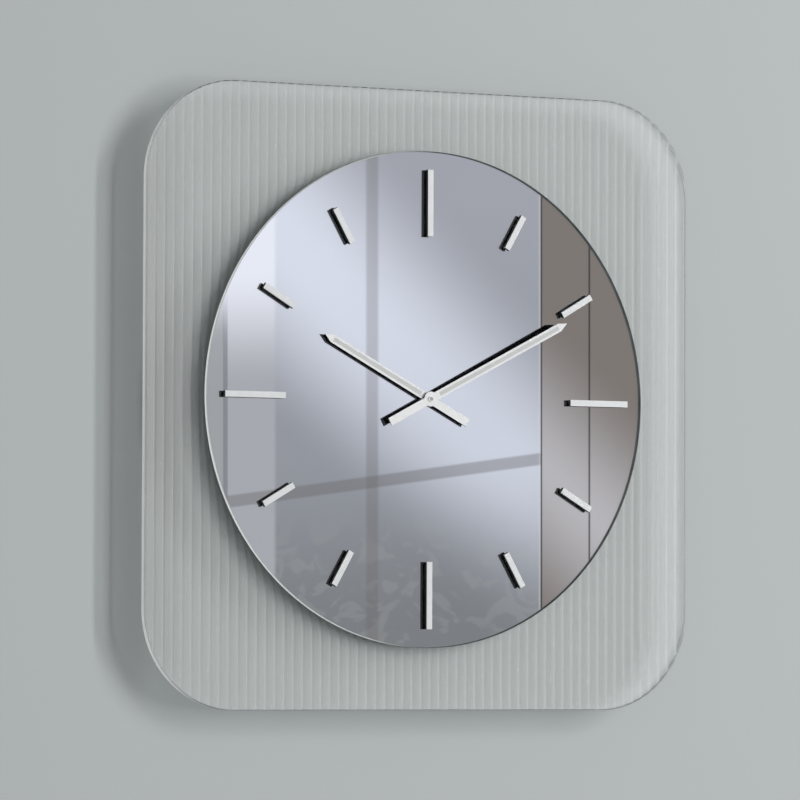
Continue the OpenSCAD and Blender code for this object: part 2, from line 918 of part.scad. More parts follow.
// Soft-iron plate that leads the coil's field round the magnet.
module stator() {
  color([0.62, 0.63, 0.65])
    difference() {
      union() {
        inner_slab(stator_u, stator_u + stator_t)
          translate(rotor_at)
            circle(r = stator_ring_r);
        inner_slab(stator_u, stator_u + stator_t)
          polygon([[core_left, leg_top], [left_leg_x, leg_top], [left_leg_x, leg_low],
            rotor_at + polar(stator_ring_r + 0.4, 105), rotor_at + polar(stator_ring_r - 0.8, 165),
            [core_left, arm_low]]);
        inner_slab(stator_u, stator_u + stator_t)
          polygon([[right_leg_x, leg_top], [core_right, leg_top], [core_right, arm_low],
            rotor_at + polar(stator_ring_r - 0.8, -5), rotor_at + polar(stator_ring_r - 0.8, 70),
            [right_leg_x, leg_low]]);
      }
      inner_slab(stator_u - 1, stator_u + stator_t + 1) {
        translate(rotor_at)
          circle(d = magnet_d + 2 * magnet_c);
        at_points(stator_pillars)
          circle(d = stator_pin_d + 2 * fit_c);
      }
    }
}

module coil_core() {
  color([0.58, 0.59, 0.61])
    inner_slab(stator_u + stator_t, stator_u + 2 * stator_t)
      difference() {
        translate([core_left, coil_z - core_w / 2])
          square([core_right - core_left, core_w]);
        at_points(stator_pillars)
          circle(d = stator_pin_d + 2 * fit_c);
      }
}

// The bobbin is a round tube over the flat core, with a square flange at each end.
module coil_bobbin() {
  color([0.88, 0.86, 0.78])
    difference() {
      translate([coil_left, floor_y + coil_u, dial_z + coil_z])
        rotate([0, 90, 0]) {
          cylinder(d = bobbin_tube_d, h = coil_right - coil_left);
          linear_extrude(bobbin_flange_t)
            square(bobbin_flange, center = true);
          translate([0, 0, coil_right - coil_left - bobbin_flange_t])
            linear_extrude(bobbin_flange_t)
              square(bobbin_flange, center = true);
        }
      inner_slab(coil_u - stator_t / 2 - fit_c, coil_u + stator_t / 2 + fit_c)
        translate([coil_left - 1, coil_z - core_w / 2 - fit_c])
          square([coil_right - coil_left + 2, core_w + 2 * fit_c]);
    }
}

module coil_winding() {
  color([0.72, 0.38, 0.18])
    translate([coil_left + bobbin_flange_t + winding_c, floor_y + coil_u, dial_z + coil_z])
      rotate([0, 90, 0])
        linear_extrude(coil_right - coil_left - 2 * (bobbin_flange_t + winding_c))
          ring(winding_d, bobbin_tube_d + 2 * fit_c);
}

// End plate with a pressed bump and a long strip to the circuit board.
module contact_positive() {
  wall_x = inner_w / 2;
  color([0.80, 0.78, 0.70]) {
    inner_slab(battery_u - contact_w / 2, battery_u + contact_w / 2)
      translate([wall_x - contact_t, bay_mid - contact_w / 2])
        square([contact_t, contact_w]);
    inner_slab(contact_strip_u, board_u) {
      translate([wall_x - contact_t, bay_mid])
        square([contact_t, room_low - bay_mid + contact_t]);
      translate([board_tab_x, room_low])
        square([wall_x - board_tab_x, contact_t]);
      translate([board_tab_x, room_low])
        square([contact_t, board_low - room_low + contact_tab_l]);
    }
    translate([wall_x - contact_t - contact_bump_h, floor_y + battery_u, dial_z + bay_mid])
      rotate([0, 90, 0])
        cylinder(d = button_d - 1, h = contact_bump_h + contact_t / 2);
  }
}

// End plate with a leaf spring that presses on the battery.
module contact_negative() {
  wall_x = -inner_w / 2;
  reach = battery_left - contact_gap - wall_x;
  color([0.80, 0.78, 0.70]) {
    inner_slab(battery_u - contact_w / 2, battery_u + contact_w / 2)
      translate([wall_x, bay_mid - contact_w / 2])
        square([contact_t, contact_w]);
    inner_slab(battery_u - contact_w / 4, battery_u + contact_w / 4)
      translate([wall_x, bay_mid])
        polygon([[0, -contact_w / 2], [contact_t, -contact_w / 2], [reach, spring_low],
          [reach, spring_high], [reach - contact_t, spring_high], [reach - contact_t, spring_low]]);
    inner_slab(contact_strip_u, board_u)
      translate([wall_x, bay_mid])
        square([contact_t, board_low + contact_tab_l - bay_mid]);
  }
}

module battery() {
  color([0.15, 0.16, 0.18])
    translate([battery_left, floor_y + battery_u, dial_z + bay_mid])
      rotate([0, 90, 0]) {
        cylinder(d = battery_d, h = battery_l - button_h);
        cylinder(d = button_d, h = battery_l);
      }
}

// Magnet of the stepping motor, pressed on the rotor pinion's arbor.
module rotor_magnet() {
  color([0.28, 0.28, 0.30])
    inner_slab(stator_u + stator_t / 2 - magnet_l / 2, stator_u + stator_t / 2 + magnet_l / 2)
      translate(rotor_at)
        ring(magnet_d, arbor_d + 2 * fit_c);
}

module rotor_pinion() {
  color([0.92, 0.92, 0.90]) {
    inner_slab(intermediate_wheel_u - pinion_over, intermediate_wheel_u + wheel_t + pinion_over)
      translate(rotor_at)
        pinion_shape(rotor_teeth, rotor_module, 0);
    inner_slab(pivot_u, arbor_end_u)
      translate(rotor_at)
        circle(d = arbor_d);
  }
}

module intermediate_wheel() {
  color([0.92, 0.92, 0.90])
    difference() {
      union() {
        inner_slab(intermediate_wheel_u, intermediate_wheel_u + wheel_t)
          translate(intermediate_at)
            wheel_shape(intermediate_teeth, rotor_module, intermediate_phase);
        inner_slab(second_wheel_u - pinion_over, intermediate_wheel_u + wheel_t / 2)
          translate(intermediate_at)
            pinion_shape(pinion_teeth, second_module, 0);
      }
      inner_slab(second_wheel_u - 1, bridge_u)
        translate(intermediate_at)
          circle(d = arbor_d + 2 * run_c);
    }
}

module second_wheel() {
  color([0.92, 0.92, 0.90]) {
    inner_slab(second_wheel_u, second_wheel_u + wheel_t)
      wheel_shape(second_teeth, second_module, second_phase);
    inner_slab(third_wheel_u - pinion_over, second_wheel_u + wheel_t / 2)
      pinion_shape(pinion_teeth, third_module, 0);
    inner_slab(cannon_u + wheel_t, arbor_end_u)
      circle(d = arbor_d);
  }
}

module third_wheel() {
  color([0.92, 0.92, 0.90]) {
    inner_slab(third_wheel_u, third_wheel_u + wheel_t)
      translate(third_at)
        wheel_shape(third_teeth, third_module, third_phase);
    inner_slab(centre_wheel_u - pinion_over, third_wheel_u + wheel_t / 2)
      translate(third_at)
        pinion_shape(pinion_teeth, centre_module, 0);
    inner_slab(pivot_u, arbor_end_u)
      translate(third_at)
        circle(d = arbor_d);
  }
}

// Turns on the minute arbor and slips there when the hands are set.
module centre_wheel() {
  color([0.92, 0.92, 0.90])
    inner_slab(centre_wheel_u, centre_wheel_u + wheel_t)
      difference() {
        wheel_shape(centre_teeth, centre_module, centre_phase);
        circle(d = cannon_shaft_d + 2 * run_c);
      }
}

// Arbor of the minute hand, with the cannon pinion cut in its rear end.
module minute_arbor() {
  color([0.78, 0.79, 0.80])
    difference() {
      union() {
        dial_slab(floor_y + cannon_u, minute_hand_back_y)
          circle(d = minute_arbor_d);
        dial_slab(floor_y + cannon_u, hand_nut_front_y)
          circle(d = minute_seat_d);
        inner_slab(cannon_u, cannon_u + wheel_t + pinion_over)
          pinion_shape(cannon_teeth, cannon_module, 0);
        inner_slab(cannon_u, centre_wheel_u + wheel_t + pinion_over)
          circle(d = cannon_shaft_d);
      }
      inner_slab(cannon_u + wheel_t - 2 * end_play, third_wheel_u)
        circle(d = arbor_d + 2 * run_c);
    }
}

// Carries the motion from the minute arbor to the hour wheel.
module reverser_wheel() {
  color([0.92, 0.92, 0.90])
    difference() {
      union() {
        inner_slab(cannon_u, cannon_u + wheel_t)
          translate(reverser_at)
            wheel_shape(reverser_teeth, cannon_module, reverser_phase);
        inner_slab(hour_wheel_u - pinion_over, cannon_u + wheel_t / 2)
          translate(reverser_at)
            pinion_shape(reverser_pinion_teeth, hour_module, 0);
      }
      inner_slab(-1, cannon_u + 2 * wheel_t)
        translate(reverser_at)
          circle(d = arbor_d + 2 * run_c);
    }
}

module hour_wheel() {
  color([0.92, 0.92, 0.90])
    difference() {
      union() {
        inner_slab(hour_wheel_u, hour_wheel_u + wheel_t + pinion_over)
          wheel_shape(hour_teeth, hour_module, hour_phase);
        dial_slab(floor_y + hour_wheel_u + wheel_t / 2, hour_hand_front_y)
          circle(d = hour_pipe_d);
      }
      dial_slab(0, hour_hand_front_y - 1)
        circle(d = hour_pipe_bore_d);
    }
}

module setting_knob() {
  color([0.14, 0.14, 0.15])
    union() {
      inner_slab(pivot_u, cannon_u)
        translate(knob_at)
          circle(d = knob_pivot_d);
      inner_slab(cannon_u, cannon_u + wheel_t)
        translate(knob_at)
          wheel_shape(knob_teeth, cannon_module, knob_phase);
      inner_slab(cannon_u + wheel_t, cover_back_u + free_c + knob_t)
        translate(knob_at)
          circle(d = knob_shaft_d);
      inner_slab(cover_back_u + free_c, cover_back_u + free_c + knob_t)
        translate(knob_at)
          difference() {
            circle(d = knob_d);
            for (i = [0 : knob_flutes - 1])
              rotate(i * 360 / knob_flutes)
                translate([knob_d / 2, 0])
                  rotate(45)
                    square(knob_flute_w, center = true);
          }
    }
}

// Flat bar with a pointed end, drawn along the hand from the tail to the point.
module blade_shape(from_l, to_l) {
  polygon([[-hand_w / 2, from_l], [hand_w / 2, from_l], [hand_w / 2, to_l - hand_tip_l], [0, to_l],
    [-hand_w / 2, to_l - hand_tip_l]]);
}

// One blade with the shallow channel along its face.
module channelled_blade(from_l, to_l) {
  difference() {
    linear_extrude(hand_t)
      blade_shape(from_l, to_l);
    translate([-channel_w / 2, channel_start_l, hand_t - channel_h])
      cube([channel_w, to_l - channel_end_l - channel_start_l, hand_t]);
  }
}

module hour_hand() {
  color([0.90, 0.90, 0.90])
    difference() {
      translate([0, hour_hand_back_y, dial_z])
        rotate([90, hour_angle, 0])
          union() {
            translate([0, 0, -hour_collet_h])
              cylinder(d = hour_collet_d, h = hour_collet_h + hand_t);
            cylinder(d = hand_hub_d, h = hand_t);
            translate([-hand_w / 2, -hour_tail_l, 0])
              cube([hand_w, hour_tail_l, hand_t]);
            translate([0, blade_root, 0])
              channelled_blade(0, hour_hand_l - blade_root);
          }
      dial_slab(mirror_front_y, hour_hand_front_y - 1)
        circle(d = hour_pipe_d + 2 * fit_c);
    }
}

module minute_hand() {
  color([0.90, 0.90, 0.90])
    difference() {
      translate([0, minute_hand_back_y, dial_z])
        rotate([90, minute_angle, 0])
          union() {
            cylinder(d = hand_hub_d, h = hand_t);
            translate([-hand_w / 2, -minute_tail_l, 0])
              cube([hand_w, minute_tail_l, hand_t]);
            translate([0, blade_root, 0])
              rotate([blade_lift, 0, 0])
                channelled_blade(-blade_overlap, minute_hand_l - blade_root);
          }
      dial_slab(mirror_front_y, minute_hand_front_y - 1)
        circle(d = minute_seat_d + 2 * fit_c);
    }
}

module hand_nut() {
  color([0.82, 0.83, 0.84])
    dial_slab(minute_hand_front_y, hand_nut_front_y)
      ring(hand_nut_d, minute_seat_d + 2 * fit_c);
}

fluted_panel();
panel_film();
mirror_glass();
mirror_silvering();
mirror_standoffs();
standoff_pads();
panel_bushes();
panel_washers();
spacer_posts();
post_screws();
hanger_bar();
lower_bar();
wall_bumpers();
hour_bar_01();
hour_bar_02();
hour_bar_03();
hour_bar_04();
hour_bar_05();
hour_bar_06();
hour_bar_07();
hour_bar_08();
hour_bar_09();
hour_bar_10();
hour_bar_11();
hour_bar_12();
bar_faces();
movement_case();
movement_cover();
cover_screws();
threaded_bush();
bush_gasket();
bush_washer();
bush_nut();
train_bridge();
circuit_board();
control_chip();
quartz_crystal();
stator();
coil_core();
coil_bobbin();
coil_winding();
contact_positive();
contact_negative();
battery();
rotor_magnet();
rotor_pinion();
intermediate_wheel();
second_wheel();
third_wheel();
centre_wheel();
minute_arbor();
reverser_wheel();
hour_wheel();
setting_knob();
hour_hand();
minute_hand();
hand_nut();
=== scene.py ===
import math

import bmesh
import bpy
from mathutils import Matrix, Vector


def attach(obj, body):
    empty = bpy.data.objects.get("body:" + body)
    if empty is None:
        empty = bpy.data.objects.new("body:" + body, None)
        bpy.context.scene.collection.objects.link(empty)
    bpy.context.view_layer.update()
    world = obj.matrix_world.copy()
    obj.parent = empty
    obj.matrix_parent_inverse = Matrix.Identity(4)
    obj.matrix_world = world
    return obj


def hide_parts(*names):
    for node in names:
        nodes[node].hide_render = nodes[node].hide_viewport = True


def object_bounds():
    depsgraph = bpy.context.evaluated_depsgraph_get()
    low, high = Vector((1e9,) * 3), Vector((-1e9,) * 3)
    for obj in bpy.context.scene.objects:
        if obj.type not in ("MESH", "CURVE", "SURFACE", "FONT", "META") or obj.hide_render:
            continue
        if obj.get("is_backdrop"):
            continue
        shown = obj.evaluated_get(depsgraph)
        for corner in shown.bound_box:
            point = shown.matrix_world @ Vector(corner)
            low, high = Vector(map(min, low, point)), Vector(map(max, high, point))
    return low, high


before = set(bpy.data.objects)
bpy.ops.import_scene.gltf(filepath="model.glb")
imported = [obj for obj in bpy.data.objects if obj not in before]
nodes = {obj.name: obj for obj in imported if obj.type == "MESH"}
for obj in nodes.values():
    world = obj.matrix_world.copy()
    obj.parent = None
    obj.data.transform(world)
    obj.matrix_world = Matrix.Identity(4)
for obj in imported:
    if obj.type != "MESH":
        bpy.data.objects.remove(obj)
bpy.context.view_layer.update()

# Camera. It stands to the left of the clock and a little below its middle, as it did for the
# photograph, and looks to the right and slightly up.


def place(name, data):
    made = bpy.data.objects.new(name, data)
    bpy.context.scene.collection.objects.link(made)
    return made


def stand(made, at, right, up, back):
    """Puts an object at a point, with its own three axes along the directions given."""
    made.matrix_world = Matrix.Translation(at) @ Matrix((right, up, back)).transposed().to_4x4()


yaw, pitch, roll = 0.5029039, 0.0435978, 0.0035464
ahead = Vector((math.sin(yaw) * math.cos(pitch), math.cos(yaw) * math.cos(pitch), math.sin(pitch)))
level = Vector((math.cos(yaw), -math.sin(yaw), 0))
upright = level.cross(ahead)
sight_right = level * math.cos(roll) + upright * math.sin(roll)
sight_up = upright * math.cos(roll) - level * math.sin(roll)
sight_from = Vector((-2.33573, -4.2363, -0.29433))
camera = place("camera", bpy.data.cameras.new("camera"))
camera.data.lens = 268.969
camera.data.clip_end = 60
stand(camera, sight_from, sight_right, sight_up, -ahead)
bpy.context.scene.camera = camera
bpy.context.scene.view_settings.view_transform = "Standard"

# Wall, floor and studio light. The clock hangs on a pale painted wall, which lets the view from
# behind through. A tall soft lamp in three parts stands on the right, two more light the back,
# and pale cards show only in glossy surfaces.
WALL_Y, FLOOR_Z = 0.0002, -1.2
LAMP_AIM = Vector((0, 0, -0.08))
WINDOW_FAR, WINDOW_UP, WINDOW_TALL = 6.0, 1.1, 4.4
REAR_FAR, REAR_UP, REAR_SIDE, REAR_POWER = 3.4, 0.9, 2.4, 95


def shade(tree, kind, inputs=None, **settings):
    """Adds a shader node. An input is a plain value, a socket, or a node that gives its first
    output."""
    made = tree.nodes.new("ShaderNode" + kind)
    for key, value in settings.items():
        setattr(made, key, value)
    for key, value in (inputs or {}).items():
        if isinstance(value, bpy.types.Node):
            value = value.outputs[0]
        if isinstance(value, bpy.types.NodeSocket):
            tree.links.new(value, made.inputs[key])
        else:
            made.inputs[key].default_value = value
    return made


def blank_material(name):
    made = bpy.data.materials.new(name)
    made.use_nodes = True
    made.node_tree.nodes.clear()
    return made, made.node_tree


def show_shader(tree, shader):
    shade(tree, "OutputMaterial", {"Surface": shader})


def figured(tree, operation, *values):
    return shade(tree, "Math", dict(enumerate(values)), operation=operation)


def mixed(tree, factor, low, high):
    return shade(tree, "Mix", {0: factor, 6: low, 7: high}, data_type="RGBA").outputs[2]


def clouded(tree, cloud, colour, share):
    """The colour, made a little darker and lighter by a cloud."""
    return mixed(tree, cloud, [c * (1 - share) for c in colour] + [1],
                 [c * (1 + share) for c in colour] + [1])


def spread(tree, value, low, high, start=0.3, end=0.7, form="LINEAR"):
    """Goes from low to high while the value goes from start to end. A noise mostly stays between
    0.3 and 0.7."""
    return shade(tree, "MapRange", {"Value": value, "From Min": start, "From Max": end,
                                    "To Min": low, "To Max": high}, interpolation_type=form)


def own_place(tree):
    return shade(tree, "TexCoord").outputs["Object"]


def noise(tree, at, scale, detail, **more):
    return shade(tree, "TexNoise", {"Vector": at, "Scale": scale, "Detail": detail, **more})


def raised(tree, height, strength, distance):
    """Fine relief from a height. The distance is in metres."""
    return shade(tree, "Bump", {"Strength": strength, "Distance": distance, "Height": height})


def flat_card(name, corners, material):
    mesh = bpy.data.meshes.new(name)
    mesh.from_pydata(corners, [], [(0, 1, 2, 3)])
    mesh.materials.append(material)
    made = place(name, mesh)
    made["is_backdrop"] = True
    return made


def plain_paint(name, colour, own_light):
    made, tree = blank_material(name)
    at = own_place(tree)
    tone = clouded(tree, noise(tree, at, 1.5, 2.0), colour, 0.02)
    relief = raised(tree, noise(tree, at, 900.0, 3.0), 0.25, 0.0001)
    paint = shade(tree, "BsdfDiffuse", {"Color": tone, "Normal": relief})
    even = shade(tree, "Emission", {"Color": tone})
    face = shade(tree, "MixShader", {0: own_light, 1: paint, 2: even})
    behind = shade(tree, "NewGeometry").outputs["Backfacing"]
    clear = shade(tree, "BsdfTransparent")
    show_shader(tree, shade(tree, "MixShader", {0: behind, 1: face, 2: clear}))
    return made


wall = flat_card("wall", [(-1.5, WALL_Y, FLOOR_Z), (1.5, WALL_Y, FLOOR_Z), (1.5, WALL_Y, 1.8),
                          (-1.5, WALL_Y, 1.8)],
                 plain_paint("wall_paint", (0.468, 0.492, 0.497), 0.0))
floor = flat_card("floor", [(-12, -12, FLOOR_Z), (12, -12, FLOOR_Z), (12, 12, FLOOR_Z),
                            (-12, 12, FLOOR_Z)],
                  plain_paint("floor_paint", (0.62, 0.65, 0.64), 0.92))
for screen in (wall, floor):
    screen.visible_shadow = False
    screen.visible_diffuse = False
wall.visible_glossy = False

world = bpy.data.worlds.new("studio")
world.use_nodes = True
world.cycles.sampling_method = "NONE"
world.node_tree.nodes.clear()
sky = world.node_tree
height = shade(sky, "SeparateXYZ", {0: shade(sky, "TexCoord").outputs["Generated"]}).outputs["Z"]
paleness = spread(sky, height, 0.55, 0.92, -0.5, 0.6)
pale = shade(sky, "CombineColor", {0: paleness, 1: paleness, 2: paleness})
backdrop = shade(sky, "Background", {"Color": pale})
fill = shade(sky, "Background", {"Color": (0.97, 1.0, 1.0, 1), "Strength": 0.34})
ray = shade(sky, "LightPath")
seen = figured(sky, "MAXIMUM", ray.outputs["Is Camera Ray"], ray.outputs["Is Glossy Ray"])
seen = figured(sky, "MAXIMUM", seen, ray.outputs["Is Transmission Ray"])
shade(sky, "OutputWorld", {"Surface": shade(sky, "MixShader", {0: seen, 1: fill, 2: backdrop})})
bpy.context.scene.world = world


def soft_lamp(name, at, width, tall, power):
    data = bpy.data.lights.new(name, "AREA")
    data.shape, data.size, data.size_y, data.energy = "RECTANGLE", width, tall, power
    made = place(name, data)
    made.location = at
    made.rotation_mode = "QUATERNION"
    made.rotation_quaternion = (LAMP_AIM - Vector(at)).to_track_quat("-Z", "Y")
    made.visible_glossy = made.visible_camera = made.visible_transmission = False
    return made


for pane, angle, wide, power in (("far", 47.0, 0.4, 140), ("middle", 38.0, 1.1, 125),
                                 ("near", 30.5, 0.4, 70)):
    turn = math.radians(angle)
    soft_lamp("window_lamp_" + pane,
              (WINDOW_FAR * math.sin(turn), -WINDOW_FAR * math.cos(turn), WINDOW_UP), wide,
              WINDOW_TALL, power)
rear_lamps = [soft_lamp("rear_lamp_" + side, (x, REAR_FAR, REAR_UP), REAR_SIDE, REAR_SIDE,
                        REAR_POWER) for side, x in (("left", -2.8), ("right", 2.8))]


def glow(name, strength):
    """A light that fades to nothing at the sides of its card."""
    made, tree = blank_material(name)
    parts = shade(tree, "SeparateXYZ", {0: shade(tree, "TexCoord").outputs["Generated"]})
    sides = []
    for axis in ("X", "Y"):
        off = figured(tree, "ABSOLUTE", figured(tree, "SUBTRACT", parts.outputs[axis], 0.5))
        sides.append(spread(tree, off, 1.0, 0.0, 0.3, 0.5))
    light = shade(tree, "Emission", {"Color": (1, 1, 1, 1), "Strength": strength})
    clear = shade(tree, "BsdfTransparent")
    show_shader(tree, shade(tree, "MixShader", {0: figured(tree, "MULTIPLY", *sides), 1: clear,
                                                2: light}))
    return made


def glossy_card(name, centre, right, up, width, tall, material):
    x, y = width / 2, tall / 2
    made = flat_card(name, [(-x, -y, 0), (x, -y, 0), (x, y, 0), (-x, y, 0)], material)
    stand(made, centre, right, up, right.cross(up))
    made.visible_camera = made.visible_diffuse = made.visible_shadow = False


along_x, along_z = Vector((1, 0, 0)), Vector((0, 0, 1))
window_way = Vector((math.sin(math.radians(55)), -math.cos(math.radians(55)), 0.04))
glossy_card("window_glow", window_way * 4.5, along_z.cross(window_way).normalized(), along_z,
            0.95, 2.6, glow("window_glow", 0.7))
glossy_card("near_glow", Vector((1.1, -0.46, 0.1)), along_x, along_z, 1.1, 1.5,
            glow("near_glow", 1.4))

# What the mirror shows of the room: a pale lavender wall that darkens downwards, a taupe curtain
# on the right, and the soft grey bars of a window. It is a card in front of the clock, drawn in
# the picture's own steps across and down, and it is seen only in glossy surfaces.
CARD_FAR, FOCAL_STEPS, MIDDLE_STEP = 9.6, 5977.09, 400.0
# Seen through the glass, the silver seems to lie a little in front of its real depth.
SILVER_Y = -0.0345


def reflected(way):
    return Vector((way.x, -way.y, way.z))


room, tree = blank_material("room_in_the_mirror")
at = own_place(tree)
parts = shade(tree, "SeparateXYZ", {0: at})


def picture_step(axis, sign):
    scaled = figured(tree, "MULTIPLY", parts.outputs[axis], sign / (CARD_FAR / FOCAL_STEPS))
    return figured(tree, "ADD", scaled, MIDDLE_STEP)


def band(value, start, end, soft):
    """1 between start and end, with soft sides, and 0 elsewhere."""
    rise = spread(tree, value, 0.0, 1.0, start - soft / 2, start + soft / 2, "SMOOTHSTEP")
    drop = spread(tree, value, 1.0, 0.0, end - soft / 2, end + soft / 2, "SMOOTHSTEP")
    return figured(tree, "MULTIPLY", rise, drop)


def laid_over(base, mask, colour, amount):
    return mixed(tree, figured(tree, "MULTIPLY", mask, amount), base, (*colour, 1))


across, down = picture_step("X", 1), picture_step("Y", -1)
across_down = figured(tree, "SUBTRACT", across, down)
along = figured(tree, "ADD", across, down)
shade_side = mixed(tree, spread(tree, down, 0.0, 1.0, 200, 430), (0.40, 0.41, 0.455, 1),
                   (0.33, 0.345, 0.38, 1))
glow_side = mixed(tree, spread(tree, along, 0.0, 1.0, 580, 880), (0.77, 0.80, 0.90, 1),
                  (0.69, 0.715, 0.81, 1))
tone = mixed(tree, band(across_down, -58, 150, 185), shade_side, glow_side)
low = spread(tree, down, 0.0, 1.0, 440, 640, "SMOOTHSTEP")
tone = laid_over(tone, low, (0.17, 0.175, 0.175), 0.66)
mottle = noise(tree, at, 16.0, 5.0, Distortion=2.2)
patch = figured(tree, "MULTIPLY", band(mottle, 0.55, 0.9, 0.08), band(down, 530, 700, 60))
tone = laid_over(tone, patch, (0.40, 0.42, 0.41), 0.22)
side_pane = mixed(tree, spread(tree, down, 0.0, 1.0, 265, 390, "SMOOTHSTEP"),
                  (0.90, 0.92, 1.0, 1), (0.43, 0.44, 0.47, 1))
tone = mixed(tree, band(across, 100, 275, 5), tone, side_pane)
pane_end = band(down, 315, 800, 60)
for start, end, colour, amount in ((100, 223.5, (0.375, 0.385, 0.395), 0.85),
                                   (223, 227.5, (0.16, 0.17, 0.18), 0.6)):
    mask = figured(tree, "MULTIPLY", band(across, start, end, 1.5), pane_end)
    tone = laid_over(tone, mask, colour, amount)
curtain = mixed(tree, band(across_down, 0, 150, 180), (0.235, 0.208, 0.192, 1),
                (0.54, 0.525, 0.545, 1))
tone = mixed(tree, band(across, 541, 900, 1.5), tone, curtain)
tone = laid_over(tone, band(across, 366, 378, 4), (0.16, 0.15, 0.15), 0.37)
slope = figured(tree, "MULTIPLY_ADD", across, 0.137, down)
sill = figured(tree, "MULTIPLY", band(slope, 527, 539, 3), band(across, 100, 541, 2))
tone = laid_over(tone, sill, (0.17, 0.165, 0.165), 0.5)
for start, end, grey, amount in ((538.6, 540.2, (0.8, 0.8, 0.82), 0.3),
                                 (540.4, 542, (0.03, 0.03, 0.03), 0.85),
                                 (588.2, 590, (0.03, 0.03, 0.03), 0.8)):
    tone = laid_over(tone, band(across, start, end, 1), grey, amount)
show_shader(tree, shade(tree, "Emission", {"Color": tone}))
behind_glass = Vector((sight_from.x, 2 * SILVER_Y - sight_from.y, sight_from.z))
glossy_card("room_card", behind_glass + reflected(ahead) * CARD_FAR, reflected(sight_right),
            reflected(sight_up), 0.86, 0.9, room)

# Fluted panel. One sheet of slightly green glass, cast with sixty rounded flutes on its face,
# cut to a square with large round corners, with ground and polished edges. Four holes take the
# screws, and one in the middle takes the movement's bush.
MM = 0.001
DIAL_Z = -84.0
PANEL_W, PANEL_H, PANEL_R, PANEL_ARRIS = 498.0, 500.0, 80.0, 0.5
PANEL_BACK_Y, PANEL_FRONT_Y = -22.03, -28.0
FLUTE_PITCH, FLUTE_R, FLUTES, FLUTE_FACETS = 8.3, 10.0181, 60, 12
POSTS = [(sx * 80.0, DIAL_Z + sz * 80.0) for sx in (-1, 1) for sz in (-1, 1)]


def inset(outline, depth):
    made = []
    for i, here in enumerate(outline):
        before, after = Vector(outline[i - 1]), Vector(outline[(i + 1) % len(outline)])
        here = Vector(here)
        side_a, side_b = (here - before).normalized(), (after - here).normalized()
        normal_a, normal_b = Vector((-side_a.y, side_a.x)), Vector((-side_b.y, side_b.x))
        middle = (normal_a + normal_b).normalized()
        made.append(tuple(here + middle * depth / max(0.4, middle.dot(normal_a))))
    return made


def add_rings(bm, rings, closed_ends=True, coats=None):
    """Joins rings of points with bands of faces, and caps the first and the last one. Coats are
    the material numbers, one for each ring and the band after it."""
    coats = coats or [0] * len(rings)
    rows = [[bm.verts.new(p) for p in ring] for ring in rings]
    for low, high, coat in zip(rows, rows[1:], coats):
        for i in range(len(low)):
            j = (i + 1) % len(low)
            bm.faces.new((low[i], low[j], high[j], high[i])).material_index = coat
    if closed_ends:
        bm.faces.new(rows[0][::-1]).material_index = coats[0]
        bm.faces.new(rows[-1]).material_index = coats[-1]
    return rows


def turned_ring(radius, depth, at, steps):
    return [(at[0] + radius * math.cos(2 * math.pi * i / steps), depth,
             at[1] + radius * math.sin(2 * math.pi * i / steps)) for i in range(steps)]


def add_turned(bm, profile, at=(0, 0), steps=48):
    """A turned piece round an axis that runs from the wall to the front: pairs of radius and
    depth."""
    add_rings(bm, [turned_ring(radius, depth, at, steps) for radius, depth in profile])


def mesh_of(name, bm):
    """A shape drawn in millimetres becomes a mesh in metres, with its faces outwards."""
    bmesh.ops.recalc_face_normals(bm, faces=bm.faces)
    bmesh.ops.scale(bm, vec=(MM, MM, MM), verts=bm.verts)
    mesh = bpy.data.meshes.new(name)
    bm.to_mesh(mesh)
    bm.free()
    return mesh


def smooth_between(mesh, sharp=28):
    """Smooth faces, with a hard edge where two of them meet at more than so many degrees."""
    mesh.polygons.foreach_set("use_smooth", [True] * len(mesh.polygons))
    mesh.set_sharp_from_angle(angle=math.radians(sharp))


def finish_piece(name, bm, materials, body, node, sharp=28):
    """Makes the piece of a shape, on its body, in the place of its CAD solid."""
    mesh = mesh_of(name, bm)
    smooth_between(mesh, sharp)
    for material in materials:
        mesh.materials.append(material)
    made = place(name, mesh)
    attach(made, body)
    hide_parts(node)
    return made


def cut_out(piece, cutter_bm):
    """Cuts a shape out of a piece for good."""
    mesh = mesh_of("cutter", cutter_bm)
    cutter = place("cutter", mesh)
    cut = piece.modifiers.new("cut", "BOOLEAN")
    cut.operation, cut.solver, cut.object = "DIFFERENCE", "EXACT", cutter
    bpy.context.view_layer.update()
    piece.data = bpy.data.meshes.new_from_object(
        piece.evaluated_get(bpy.context.evaluated_depsgraph_get()))
    piece.modifiers.clear()
    bpy.data.objects.remove(cutter)
    bpy.data.meshes.remove(mesh)
    smooth_between(piece.data)


